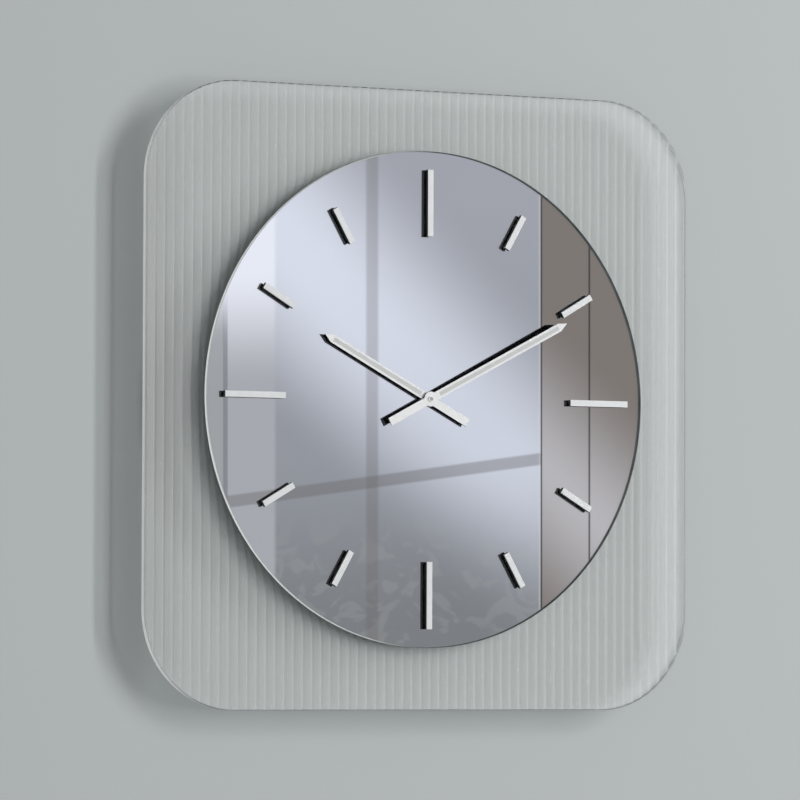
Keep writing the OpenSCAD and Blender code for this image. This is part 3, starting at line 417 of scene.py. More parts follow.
def clear_glass(name, colour, rough, grain, passed, soft_passed=None, clearness=1.0, shadow_deepening=None):
    """Glass with a slightly wavy surface. The passed share of the lamps' light goes straight on,
    and the soft light that comes from all sides may have a share of its own. The shadow deepening
    is a lower share at the left end, a darker band in the glass that is there only to deepen the
    shadow on the wall beside the panel, and where that starts and is full."""
    made, tree = blank_material(name)
    at = own_place(tree)
    wave = noise(tree, shade(tree, "Mapping", {"Vector": at, "Scale": (1.0, 1.0, 0.12)}), grain,
                 2.0)
    haze = spread(tree, wave, rough * 0.6, rough * 1.4) if rough else 0.0
    glass = shade(tree, "BsdfPrincipled", {
        "Base Color": colour, "Roughness": haze, "Transmission Weight": clearness, "IOR": 1.5,
        "Normal": raised(tree, wave, 0.5, 0.0002)})
    if shadow_deepening:
        share, start, full = shadow_deepening
        sideways = shade(tree, "SeparateXYZ", {0: at})
        passed = mixed(tree, spread(tree, sideways, 0.0, 1.0, start, full), passed, share)
    ray = shade(tree, "LightPath")
    if soft_passed:
        passed = mixed(tree, ray.outputs["Is Diffuse Ray"], passed, soft_passed)
    clear = shade(tree, "BsdfTransparent", {"Color": passed})
    passing = figured(tree, "MAXIMUM", ray.outputs["Is Shadow Ray"], ray.outputs["Is Diffuse Ray"])
    show_shader(tree, shade(tree, "MixShader", {0: passing, 1: glass, 2: clear}))
    return made


def painted_light_edge(name, shade_tone, painted_glow=None):
    """A ground edge: the cut scatters the light that comes through the sheet. Its colour is painted
    light: the shade tone is its darker, painted shade, and the painted glow is a painted highlight
    at the left, standing in for the window's light that the sheet leads to it, with where that
    starts and is full."""
    made, tree = blank_material(name)
    at = own_place(tree)
    grit, cloud = noise(tree, at, 2500.0, 3.0), noise(tree, at, 40.0, 2.0)
    tone = (*shade_tone, 1)
    if painted_glow:
        colour, start, full = painted_glow
        sideways = shade(tree, "SeparateXYZ", {0: at})
        tone = mixed(tree, spread(tree, sideways, 0.0, 1.0, start, full), tone, (*colour, 1))
    tone = mixed(tree, spread(tree, cloud, 0.0, 0.12), tone, (0.5, 0.5, 0.5, 1))
    edge = shade(tree, "BsdfPrincipled", {
        "Base Color": tone, "Roughness": spread(tree, grit, 0.28, 0.5),
        "Normal": raised(tree, grit, 0.6, 0.00004)})
    through = shade(tree, "BsdfTranslucent", {"Color": tone})
    show_shader(tree, shade(tree, "MixShader", {0: 0.6, 1: edge, 2: through}))
    return made


def flute_y(x):
    off = (x / FLUTE_PITCH) % 1.0 - 0.5
    return PANEL_FRONT_Y + FLUTE_R - math.sqrt(FLUTE_R ** 2 - (off * FLUTE_PITCH) ** 2)


half_w, half_h = PANEL_W / 2 - PANEL_ARRIS, PANEL_H / 2 - PANEL_ARRIS
inner_r = PANEL_R - PANEL_ARRIS


def panel_half_height(x):
    over = abs(x) - (half_w - inner_r)
    return half_h if over <= 0 else half_h - inner_r + math.sqrt(max(0.0, inner_r ** 2 - over ** 2))


facets = FLUTES * FLUTE_FACETS // 2
columns = {round(i * FLUTE_PITCH / FLUTE_FACETS, 5) for i in range(-facets, facets + 1)}
columns |= {s * round(half_w - inner_r + inner_r * math.sin(math.radians(a)), 5)
            for a in range(60, 90, 2) for s in (-1, 1)}
columns = [-half_w] + sorted(x for x in columns if abs(x) < half_w - 0.02) + [half_w]
loop = [(x, -panel_half_height(x)) for x in columns]
loop += [(x, panel_half_height(x)) for x in reversed(columns)]
outer = inset(loop, -PANEL_ARRIS)
bm = bmesh.new()
rows = add_rings(bm, [
    [(x, PANEL_BACK_Y, DIAL_Z + z) for x, z in loop],
    [(x, PANEL_BACK_Y - PANEL_ARRIS, DIAL_Z + z) for x, z in outer],
    [(ox, flute_y(x) + PANEL_ARRIS, DIAL_Z + oz) for (x, z), (ox, oz) in zip(loop, outer)],
    [(x, flute_y(x), DIAL_Z + z) for x, z in loop]], closed_ends=False)
last = len(columns) * 2 - 1
for row in (rows[0], rows[-1]):
    for i in range(len(columns) - 1):
        bm.faces.new((row[i], row[i + 1], row[last - i - 1], row[last - i]))
# The glass's left end lets less lamp light through, a darker band put there only to deepen the
# shadow on the wall beside the panel.
panel_glass = clear_glass("reeded_panel_glass", (0.96, 0.975, 0.97, 1), 0.09, 60.0,
                          (0.82, 0.83, 0.825, 1), (0.68, 0.69, 0.685, 1), clearness=0.885,
                          shadow_deepening=((0.68, 0.66, 0.65, 1), -0.207, -0.219))
# The panel's edge has a painted highlight at its left end, and a near black arris material that is
# painted shade.
panel_edge_glow = painted_light_edge("panel_edge_painted_glow", (0.42, 0.45, 0.45),
                           ((0.95, 0.97, 0.965), -0.195, -0.232))
arris_painted_shade = painted_light_edge("panel_arris_painted_shade", (0.05, 0.055, 0.055))
# Painted shade: the front arris is painted dark at the crest of each flute, on the right and along
# the top.
for face in bm.faces:
    face.normal_update()
    off_middle = abs((face.calc_center_median().x / FLUTE_PITCH) % 1.0 - 0.5)
    out_right = face.normal.x + face.normal.z > 0.35
    in_front = max(v.co.y for v in face.verts) <= PANEL_FRONT_Y + 1.5
    if abs(face.normal.y) > 0.8:
        face.material_index = 0
    elif in_front and out_right:
        face.material_index = 2 if off_middle < 0.3 else 0
    else:
        face.material_index = 1
panel = finish_piece("fluted_panel_glass", bm, [panel_glass, panel_edge_glow, arris_painted_shade], "frame",
                     "fluted_panel")
bm = bmesh.new()
add_turned(bm, [(4.25, -20.0), (4.25, -30.0)], (0, DIAL_Z))
for post in POSTS:
    add_turned(bm, [(3.3, -20.0), (3.3, -30.0)], post)
cut_out(panel, bm)


def dress(name, material):
    for holder in nodes[name].material_slots:
        holder.material = material


film, tree = blank_material("frosted_film")
at = own_place(tree)
cloud, fine = noise(tree, at, 25.0, 3.0), noise(tree, at, 1800.0, 3.0)
tone = clouded(tree, cloud, (0.86, 0.88, 0.875), 0.02)
matt = shade(tree, "BsdfPrincipled", {"Base Color": tone, "Roughness": spread(tree, fine, 0.6, 0.8),
                                      "Normal": raised(tree, fine, 0.5, 0.00001)})
through = shade(tree, "BsdfTranslucent", {"Color": tone})
body = shade(tree, "MixShader", {0: 0.25, 1: matt, 2: through})
clear = shade(tree, "BsdfTransparent")
show_shader(tree, shade(tree, "MixShader", {0: spread(tree, cloud, 0.81, 0.85), 1: body,
                                            2: clear}))
dress("panel_film", film)
only_front = bpy.data.collections.new("not_lit_from_behind")
for shown in (wall, panel, nodes["panel_film"]):
    only_front.objects.link(shown)
for held in only_front.collection_objects:
    held.light_linking.link_state = "EXCLUDE"
for lamp in rear_lamps:
    lamp.light_linking.receiver_collection = only_front

# Mirror. A round sheet of float glass with a polished edge and a hole for the hands' arbor, and
# behind it a bright silver layer under painted protective film.
MIRROR_R, BORE_R, MIRROR_ARRIS, BORE_ARRIS = 200.0, 4.75, 0.4, 0.2
MIRROR_FRONT_Y, MIRROR_BACK_Y = -37.0, -33.32


def add_turned_ring(bm, profile, at=(0, 0), steps=48, coats=None):
    """A turned ring: its section is closed on itself, so it has a bore."""
    coats = coats or [0] * len(profile)
    rows = add_rings(bm, [turned_ring(radius, depth, at, steps) for radius, depth in profile],
                     closed_ends=False, coats=coats)
    first, last = rows[0], rows[-1]
    for i in range(steps):
        j = (i + 1) % steps
        bm.faces.new((last[i], last[j], first[j], first[i])).material_index = coats[-1]


def show_finish(tree, tone, rough, **sockets):
    inputs = {"Base Color": tone, "Roughness": rough}
    inputs.update({key.replace("_", " "): value for key, value in sockets.items()})
    show_shader(tree, shade(tree, "BsdfPrincipled", inputs))


def surface(name, colour, rough, metal=0.0, grain=500.0, stretch=(1, 1, 1), mottle=0.06,
            uneven=0.06, relief=0.02, **sockets):
    """A finish with cloudy colour, uneven polish and fine relief. The relief is in millimetres."""
    made, tree = blank_material(name)
    at = shade(tree, "Mapping", {"Vector": own_place(tree), "Scale": stretch})
    cloud, fine = noise(tree, at, grain * 0.08, 3.0), noise(tree, at, grain, 4.0, Roughness=0.6)
    tone = clouded(tree, spread(tree, cloud, 0.0, 1.0), colour, mottle)
    polish = spread(tree, fine, max(0.02, rough - uneven), min(1.0, rough + uneven))
    show_finish(tree, tone, polish, Metallic=metal, Normal=raised(tree, fine, 1.0, relief * MM),
                **sockets)
    return made


mirror_glass = clear_glass("clear_float_glass", (0.965, 0.975, 0.98, 1), 0.0, 3.0,
                           (0.95, 0.955, 0.96, 1))
silver, tree = blank_material("bright_silver")
tone = mixed(tree, noise(tree, own_place(tree), 6.0, 1.0), (0.90, 0.905, 0.92, 1),
             (0.93, 0.935, 0.945, 1))
show_finish(tree, tone, 0.0, Metallic=1.0)
# The rim's colour is painted light: a painted highlight on its left side and painted shade on its
# right.
rim = painted_light_edge("mirror_rim_painted_light", (0.06, 0.068, 0.07), ((0.92, 0.93, 0.92), 0.005, -0.05))
bm = bmesh.new()
add_turned_ring(bm, [(BORE_R, MIRROR_BACK_Y), (BORE_R, MIRROR_FRONT_Y + BORE_ARRIS),
                     (BORE_R + BORE_ARRIS, MIRROR_FRONT_Y),
                     (MIRROR_R - MIRROR_ARRIS, MIRROR_FRONT_Y),
                     (MIRROR_R, MIRROR_FRONT_Y + MIRROR_ARRIS),
                     (MIRROR_R, MIRROR_BACK_Y - MIRROR_ARRIS),
                     (MIRROR_R - MIRROR_ARRIS, MIRROR_BACK_Y)],
                (0, DIAL_Z), steps=256, coats=[0, 0, 0, 2, 2, 2, 1])
finish_piece("mirror_disc", bm, [mirror_glass, silver, rim], "frame",
             "mirror_glass")
dress("mirror_silvering", surface("mirror_back_paint", (0.09, 0.095, 0.10), 0.5, grain=300.0,
                                  mottle=0.1, relief=0.01))

# Hour bars. Twelve strips of black acrylic, four long and eight short, bonded to the mirror, and
# on each a thin face of satin silver with crisp edges.
BAR_W, BAR_RING, LONG_BAR, SHORT_BAR = 5.0, 158.0, 54.0, 31.0
BAR_BODY_Y, BAR_FACE_Y = -40.0, -40.6


def rectangle(x_from, z_from, x_to, z_to):
    return [(x_from, z_from), (x_to, z_from), (x_to, z_to), (x_from, z_to)]


def add_slab(bm, outline, back, front, arris, at=(0, 0), turn=0.0):
    """A flat piece between two depths, with its outline in the dial's plane and an arris all
    round."""
    c, s = math.cos(turn), math.sin(turn)
    rings = []
    for depth, cut in ((back, arris), (back - arris, 0), (front + arris, 0), (front, arris)):
        rings.append([(at[0] + x * c + z * s, depth, at[1] - x * s + z * c)
                      for x, z in (inset(outline, cut) if cut else outline)])
    add_rings(bm, rings)


black_acrylic = surface("black_bar_acrylic", (0.010, 0.011, 0.013), 0.5, grain=700.0, mottle=0.3,
                        uneven=0.05, relief=0.002, Specular_IOR_Level=0.12)
satin_silver = surface("satin_silver", (0.74, 0.748, 0.755), 0.38, metal=0.45, grain=1500.0,
                       mottle=0.03, uneven=0.08, relief=0.003)
faces_bm = bmesh.new()
for hour in range(1, 13):
    angle = math.radians(30 * hour)
    length = SHORT_BAR if hour % 3 else LONG_BAR
    outline = rectangle(-BAR_W / 2, -length / 2, BAR_W / 2, length / 2)
    spot = (BAR_RING * math.sin(angle), DIAL_Z + BAR_RING * math.cos(angle))
    bm = bmesh.new()
    add_slab(bm, outline, MIRROR_FRONT_Y, BAR_BODY_Y, 0.12, spot, angle)
    finish_piece("hour_bar_%02d_body" % hour, bm, [black_acrylic], "frame",
                 "hour_bar_%02d" % hour)
    add_slab(faces_bm, outline, BAR_BODY_Y, BAR_FACE_Y, 0.14, spot, angle)
finish_piece("hour_bar_faces", faces_bm, [satin_silver], "frame", "bar_faces")

# Hands. Flat strips of aluminium with a round hub, a square tail, a pointed end and a shallow
# channel pressed along the face. The face is satin silver, and the back and edges are black. The
# minute hand is bent slightly away from the mirror, and a small round nut holds it.
HAND_W, HAND_T, HUB_R, HAND_TIP = 6.8, 1.0, 6.0, 7.5
CHANNEL_HALF, CHANNEL_ENDS, CHANNEL_SLOPE, CHANNEL_DEPTH = 1.7, 9.0, 0.25, 0.3


def reopened(piece):
    """The mesh of a piece as a shape in millimetres again."""
    bm = bmesh.new()
    bm.from_mesh(piece.data)
    bmesh.ops.scale(bm, vec=(1 / MM, 1 / MM, 1 / MM), verts=bm.verts)
    return bm


def write_back(bm, piece, sharp=28):
    bmesh.ops.scale(bm, vec=(MM, MM, MM), verts=bm.verts)
    bm.to_mesh(piece.data)
    bm.free()
    piece.data.set_sharp_from_angle(angle=math.radians(sharp))


def hand_outline(reach, tail):
    half = HAND_W / 2
    sweep = math.atan2(math.sqrt(HUB_R ** 2 - half ** 2), half)
    right = [(HUB_R * math.cos(a), HUB_R * math.sin(a))
             for a in (sweep * (i / 12 * 2 - 1) for i in range(13))]
    left = [(-x, -z) for x, z in right]
    return ([(half, -tail)] + right + [(half, reach - HAND_TIP), (0, reach),
            (-half, reach - HAND_TIP)] + left + [(-half, -tail)])


hand_face = surface("satin_hand_face", (0.80, 0.805, 0.805), 0.34, metal=0.35, grain=1400.0,
                    mottle=0.03, uneven=0.08, relief=0.003)
hand_channel = surface("matt_hand_channel", (0.57, 0.575, 0.575), 0.5, metal=0.3, grain=1400.0,
                       mottle=0.04, uneven=0.08, relief=0.004)
hand_black = surface("black_hand_lacquer", (0.010, 0.011, 0.013), 0.6, grain=900.0, mottle=0.3,
                     relief=0.003, Specular_IOR_Level=0.1)


def hand(name, body, reach, tail, back, turn, bore_r, lift=0.0, collet=None):
    """A hand that points up is cut, bent, given its collet, and then turned to its angle."""
    front = back - HAND_T
    bm = bmesh.new()
    add_slab(bm, hand_outline(reach, tail), back, front, 0.12)
    made = finish_piece(name, bm, [], body, name.replace("_blade", ""))
    cutter = bmesh.new()
    groove = rectangle(-CHANNEL_HALF, CHANNEL_ENDS, CHANNEL_HALF, reach - CHANNEL_ENDS)
    add_rings(cutter, [[(x, depth, z) for x, z in line] for depth, line in (
        (front + CHANNEL_DEPTH, inset(groove, CHANNEL_SLOPE)), (front - 0.02, groove),
        (front - 1.0, groove))])
    cut_out(made, cutter)
    cutter = bmesh.new()
    add_turned(cutter, [(bore_r, back + 3), (bore_r, front - 3)], steps=32)
    cut_out(made, cutter)
    bm = reopened(made)
    bend_z, bend = HUB_R - 1, math.tan(math.radians(lift))
    bmesh.ops.bisect_plane(bm, geom=bm.verts[:] + bm.edges[:] + bm.faces[:],
                           plane_co=(0, 0, bend_z), plane_no=(0, 0, 1))
    for v in bm.verts:
        v.co.y -= max(0.0, v.co.z - bend_z) * bend
    if collet:
        outer_r, depth = collet
        add_turned_ring(bm, [(bore_r, back + depth), (outer_r - 0.2, back + depth),
                             (outer_r, back + depth - 0.2), (outer_r, back), (bore_r, back)])
    for f in bm.faces:
        f.normal_update()
        middle = f.calc_center_median()
        in_channel = middle.y > front - max(0.0, middle.z - bend_z) * bend + 0.2
        f.material_index = 1 if f.normal.y > -0.3 else 2 if in_channel else 0
        f.smooth = True
    c, s = math.cos(math.radians(turn)), math.sin(math.radians(turn))
    for v in bm.verts:
        x, z = v.co.x, v.co.z
        v.co.x, v.co.z = x * c + z * s, DIAL_Z - x * s + z * c
    made.data.materials.clear()
    for material in (hand_face, hand_black, hand_channel):
        made.data.materials.append(material)
    write_back(bm, made, sharp=20)


hand("hour_hand_blade", "hour", reach=108.0, tail=40.0, back=-38.7, turn=-62.4, bore_r=2.6,
     collet=(4.0, 1.2))
hand("minute_hand_blade", "minute", reach=140.0, tail=42.0, back=-40.9, turn=62.6, bore_r=1.35,
     lift=1.7)
bm = bmesh.new()
add_turned_ring(bm, [(1.37, -41.9), (2.6, -41.9), (2.6, -42.5), (2.4, -42.7), (1.75, -42.7),
                     (1.37, -42.4)], (0, DIAL_Z))
finish_piece("hand_nut_round", bm, [hand_face], "minute", "hand_nut")

# Barrels and bonding pads. Four turned aluminium barrels with wide flanges take the ends of the
# long screws. A disc of black foam tape bonds each flange to the mirror's back.
turned_aluminium = surface("turned_aluminium", (0.70, 0.71, 0.72), 0.32, metal=1.0, grain=900.0,
                           stretch=(0.04, 4, 0.04), uneven=0.1, relief=0.004)
bm = bmesh.new()
for post in POSTS:
    add_turned(bm, [(2.0, -31.9), (2.0, -28.8), (4.7, -28.8), (5.0, -29.1), (5.0, -31.0),
                    (5.3, -31.3), (11.7, -31.3), (12.0, -31.6), (12.0, -32.2), (11.7, -32.5)],
               post, 64)
finish_piece("mirror_barrels", bm, [turned_aluminium], "frame", "mirror_standoffs")
dress("standoff_pads", surface("black_foam_tape", (0.030, 0.030, 0.032), 0.93, grain=3000.0,
                               mottle=0.25, relief=0.06))

# Nylon bushes and washers. They are moulded in natural white nylon and keep the posts, barrels
# and screws off the glass in its four holes.


def eased_copy(name, source, width, material, body, where=None):
    """The same solid with its edges broken by a small bevel, all of them or those that lie where
    the test says."""
    bm = bmesh.new()
    bm.from_mesh(nodes[source].data)
    bmesh.ops.remove_doubles(bm, verts=bm.verts, dist=2e-6)
    bmesh.ops.dissolve_limit(bm, angle_limit=math.radians(1), verts=bm.verts, edges=bm.edges)
    bmesh.ops.scale(bm, vec=(1 / MM, 1 / MM, 1 / MM), verts=bm.verts)
    edges = [e for e in bm.edges if e.calc_face_angle(0) > math.radians(40)
             and (where is None or where((e.verts[0].co + e.verts[1].co) / 2))]
    bmesh.ops.bevel(bm, geom=edges, offset=width, segments=2, profile=0.6, affect="EDGES",
                    clamp_overlap=True)
    for face in bm.faces:
        face.material_index = 0
    finish_piece(name, bm, [material], body, source)


white_nylon = surface("white_nylon", (0.78, 0.78, 0.74), 0.42, grain=900.0, mottle=0.04,
                      relief=0.01, Subsurface_Weight=0.1, Subsurface_Scale=0.001)
eased_copy("nylon_bushes", "panel_bushes", 0.12, white_nylon, "frame")
eased_copy("nylon_washers", "panel_washers", 0.18, white_nylon, "frame")

# Spacer posts. Four lengths of drawn aluminium tube, faced and chamfered in a lathe, hold the
# panel off the rear bars.
drawn_tube = surface("drawn_aluminium_tube", (0.67, 0.68, 0.69), 0.30, metal=1.0, grain=1500.0,
                     stretch=(1, 0.06, 1), uneven=0.1, relief=0.005)
bm = bmesh.new()
for post in POSTS:
    add_turned_ring(bm, [(2.25, -5.0), (4.6, -5.0), (5.0, -5.4), (5.0, -20.5), (4.6, -20.9),
                         (2.25, -20.9)], post, 64)
finish_piece("spacer_tubes", bm, [drawn_tube], "frame", "spacer_posts")

# Long screws. Four zinc-plated socket screws pass through the rear bars, the posts and the panel
# into the barrels. Their low heads bear on the backs of the bars.
SCREW_HEAD_R, SCREW_SHANK_R, SOCKET_R = 3.8, 1.95, 1.52


def hexagon_ring(radius, depth, at, steps):
    made = []
    for i in range(steps):
        a = 2 * math.pi * i / steps
        reach = radius * math.cos(math.pi / 6) / math.cos(a % (math.pi / 3) - math.pi / 6)
        made.append((at[0] + reach * math.cos(a), depth, at[1] + reach * math.sin(a)))
    return made


zinc_screw = surface("zinc_plated_screw", (0.60, 0.62, 0.64), 0.30, metal=1.0, grain=1100.0,
                     mottle=0.08, uneven=0.1, relief=0.006)
bm = bmesh.new()
for post in POSTS:
    turned = ((1.5, -31.6), (SCREW_SHANK_R, -31.2), (SCREW_SHANK_R, -3.0), (SCREW_HEAD_R, -3.0),
              (SCREW_HEAD_R, -1.1), (3.65, -0.75), (3.3, -0.6))
    socket = ((SOCKET_R + 0.15, -0.6), (SOCKET_R, -0.75), (SOCKET_R, -2.2))
    add_rings(bm, [turned_ring(r, y, post, 48) for r, y in turned]
              + [hexagon_ring(r, y, post, 48) for r, y in socket])
finish_piece("socket_screws", bm, [zinc_screw], "frame", "post_screws")

# Rear bars. Two strips of zinc-plated steel, blanked and drilled, with their edges broken. They
# tie the posts together, and the clock hangs by the keyhole in the upper one.
PLATE_W, PLATE_H, PLATE_R, PLATE_ARRIS = 200.0, 28.0, 4.0, 0.3
PLATE_BACK_Y, PLATE_FRONT_Y = -3.0, -5.0
ENTRY_R, ENTRY_Z, SLOT_R, SLOT_TOP_Z = 5.0, -9.0, 2.5, -2.5


def rounded_outline(width, height, radius, steps):
    made = []
    for sx, sz, start in ((1, -1, -90), (1, 1, 0), (-1, 1, 90), (-1, -1, 180)):
        middle = (sx * (width / 2 - radius), sz * (height / 2 - radius))
        for i in range(steps + 1):
            a = math.radians(start + 90 * i / steps)
            made.append((middle[0] + radius * math.cos(a), middle[1] + radius * math.sin(a)))
    return made


def keyhole_ring(grow, depth):
    slot_r, entry_r = SLOT_R + grow, ENTRY_R + grow
    join = math.degrees(math.asin(slot_r / entry_r))
    points = []
    for i in range(41):
        a = math.radians(90 + join + (360 - 2 * join) * i / 40)
        points.append((entry_r * math.cos(a), depth, ENTRY_Z + entry_r * math.sin(a)))
    for i in range(21):
        a = math.pi * i / 20
        points.append((slot_r * math.cos(a), depth, SLOT_TOP_Z + slot_r * math.sin(a)))
    return points


# Plated strip: rolling lines along it, faint crystals in the zinc, and a rubbed keyhole.
plated_steel, tree = blank_material("zinc_plated_strip")
at = own_place(tree)
rolled = noise(tree, shade(tree, "Mapping", {"Vector": at, "Scale": (0.05, 1.0, 1.0)}), 900.0, 4.0)
crystal = shade(tree, "TexVoronoi", {"Vector": at, "Scale": 260.0, "Randomness": 1.0})
tone = mixed(tree, crystal.outputs["Color"], (0.50, 0.52, 0.54, 1), (0.60, 0.615, 0.63, 1))
tone = mixed(tree, spread(tree, noise(tree, at, 35.0, 4.0), 0.0, 0.35), tone,
             (0.44, 0.45, 0.45, 1))
from_slot = shade(tree, "VectorMath", {0: at, 1: (0, PLATE_BACK_Y * MM, SLOT_TOP_Z * MM)},
                  operation="DISTANCE").outputs["Value"]
rubbed = spread(tree, from_slot, 1.0, 0.0, 0.003, 0.009, "SMOOTHSTEP")
tone = mixed(tree, rubbed, tone, (0.66, 0.67, 0.68, 1))
show_finish(tree, tone, spread(tree, rolled, 0.30, 0.50), Metallic=1.0,
            Normal=raised(tree, rolled, 1.0, 0.000006))
for name, node, middle_z in (("hanger_strip", "hanger_bar", DIAL_Z + 80.0),
                             ("lower_strip", "lower_bar", DIAL_Z - 80.0)):
    bm = bmesh.new()
    add_slab(bm, rounded_outline(PLATE_W, PLATE_H, PLATE_R, 8), PLATE_BACK_Y, PLATE_FRONT_Y,
             PLATE_ARRIS, (0, middle_z))
    plate = finish_piece(name, bm, [plated_steel], "frame", node)
    bm = bmesh.new()
    for x in (-80.0, 80.0):
        add_turned(bm, [(2.25, -2.0), (2.25, -6.0)], (x, middle_z), 40)
    if node == "hanger_bar":
        add_rings(bm, [keyhole_ring(grow, depth) for grow, depth in (
            (0.75, -2.5), (0.0, -3.25), (0.0, -4.75), (0.75, -5.5))])
    cut_out(plate, bm)

# Wall bumpers. Four feet of soft black rubber, moulded with a rounded rim and a small dimple,
# stick to the backs of the bars and rest against the wall.
soft_rubber = surface("soft_black_rubber", (0.022, 0.022, 0.023), 0.72, grain=1500.0, mottle=0.2,
                      uneven=0.12)
bm = bmesh.new()
for x in (-92.0, 92.0):
    for z in (DIAL_Z - 80.0, DIAL_Z + 80.0):
        add_turned(bm, [(5.7, -3.0), (6.0, -2.7), (6.0, -1.3), (5.85, -0.8), (5.4, -0.35),
                        (4.6, -0.08), (3.6, 0.0), (1.7, 0.0), (1.3, -0.35), (0.4, -0.5)], (x, z))
finish_piece("rubber_feet", bm, [soft_rubber], "frame", "wall_bumpers", sharp=40)

# Movement case. A deep tray moulded in black plastic, with a room for the train above and an
# open bay for the battery below. Its outer edges are rounded and its skin is finely sparked.
OUTER_X, OUTER_TOP_Z, OUTER_FOOT_Z = 26.4, -57.6, -110.4
black_plastic = surface("sparked_black_plastic", (0.030, 0.031, 0.033), 0.50, grain=2600.0,
                        mottle=0.12, uneven=0.08, relief=0.03)
eased_copy("case_tray", "movement_case", 0.45, black_plastic, "frame",
           lambda at: abs(at.x) > OUTER_X or not OUTER_FOOT_Z <= at.z <= OUTER_TOP_Z)

# Case cover. A moulded plate with sunk screw corners, a ring round the knob with two turning
# arrows, a bare recess where a label would go, and raised plus and minus signs for the battery.
COVER_BACK_Y, COVER_FRONT_Y = -4.7, -6.1
SIGN_Y, UNDER_SIGN_Y, SIGNS_Z = -4.5, -4.9, -84.6
KNOB_AT = (11.35, -87.86)
CORNERS = [(sx * x, z) for sx in (-1, 1) for x, z in ((24.5, -59.5), (23.8, -91.6))]
outline = [(28.0, -94.75)]
outline += [(25.0 + 3 * math.cos(math.radians(a)), -59.0 + 3 * math.sin(math.radians(a)))
            for a in range(0, 91, 10)]
outline += [(-x, z) for x, z in reversed(outline)]
bm = bmesh.new()
add_slab(bm, outline, COVER_BACK_Y, COVER_FRONT_Y, 0.22)
cover = finish_piece("cover_plate", bm, [black_plastic], "frame",
                     "movement_cover")
bm = bmesh.new()
add_turned(bm, [(1.25, -3.0), (1.25, -7.0)], KNOB_AT, 32)
for corner in CORNERS:
    add_turned(bm, [(1.65, -4.0), (1.65, -5.5), (0.85, -5.5), (0.85, -7.0)], corner, 32)
add_slab(bm, rounded_outline(30.0, 13.0, 1.5, 6), -4.0, -4.9, 0.1, (-4.0, -70.5))
cut_out(cover, bm)
bm = reopened(cover)
add_turned_ring(bm, [(5.75, -4.9), (5.85, -4.48), (6.25, -4.48), (6.35, -4.9)], KNOB_AT)
for side in (-1, 1):
    x, z = KNOB_AT[0] + side * 3.6, KNOB_AT[1] + 7.4
    add_slab(bm, [(x - 1.1, z - 0.8), (x + 1.1, z - 0.8), (x, z + 0.9)], SIGN_Y, UNDER_SIGN_Y, 0.05)
for x, w, h in ((21.0, 1.6, 0.35), (21.0, 0.35, 1.6), (-21.0, 1.6, 0.35)):
    add_slab(bm, rectangle(x - w, SIGNS_Z - h, x + w, SIGNS_Z + h), SIGN_Y, UNDER_SIGN_Y, 0.05)
bmesh.ops.recalc_face_normals(bm, faces=bm.faces)
write_back(bm, cover)

# Cover screws. Four small steel screws with flat heads and cross recesses, sunk in the corners
# of the cover.
CROSS_REACH, CROSS_HALF = 0.95, 0.19
small_screw = surface("small_steel_screw", (0.58, 0.59, 0.60), 0.28, metal=1.0, grain=1500.0,
                      mottle=0.08, uneven=0.1, relief=0.004)
a, b = CROSS_REACH, CROSS_HALF
cross = [(b, -a), (b, -b), (a, -b), (a, b), (b, b), (b, a), (-b, a), (-b, b), (-a, b), (-a, -b),
         (-b, -b), (-b, -a)]
bm, crosses = bmesh.new(), bmesh.new()
for corner in CORNERS:
    add_turned(bm, [(0.5, -10.6), (0.8, -10.2), (0.8, -5.5), (1.6, -5.5), (1.6, -4.9),
                    (1.42, -4.72), (0.6, -4.7)], corner, 32)
    add_slab(crosses, cross, -4.2, -5.2, 0.04, corner, 0.5)
cut_out(finish_piece("cross_screws", bm, [small_screw], "frame", "cover_screws"),
        crosses)

# Setting knob. One moulding in black plastic, with a toothed wheel inside the case and a grooved
# grip behind the cover, by which the hands are set.
eased_copy("grooved_knob", "setting_knob", 0.12, black_plastic, "knob")

# Bush, gasket, washer and nut. A turned and threaded brass bush comes through the panel, and a
# nut on a steel washer clamps the case to the glass over a rubber gasket.


def turned_brass(name, thread_pitch):
    made, tree = blank_material(name)
    at = own_place(tree)
    dull = noise(tree, at, 160.0, 4.0)
    tone = mixed(tree, dull, (0.66, 0.48, 0.19, 1), (0.83, 0.65, 0.32, 1))
    ridge = shade(tree, "TexWave", {"Vector": at, "Scale": 0.314 / (thread_pitch * MM),
                                    "Distortion": 0.0}, bands_direction="Y")
    show_finish(tree, tone, spread(tree, dull, 0.2, 0.38), Metallic=1.0,
                Normal=raised(tree, ridge.outputs["Fac"], 0.7, 0.00006))
    return made


dress("threaded_bush", turned_brass("threaded_brass", 0.75))
eased_copy("hexagon_nut", "bush_nut", 0.25, turned_brass("nut_brass", 4.0), "frame")
eased_copy("steel_washer", "bush_washer", 0.1, small_screw, "frame")
dress("bush_gasket", surface("gasket_rubber", (0.03, 0.03, 0.03), 0.85, grain=2000.0, mottle=0.2,
                             relief=0.03))

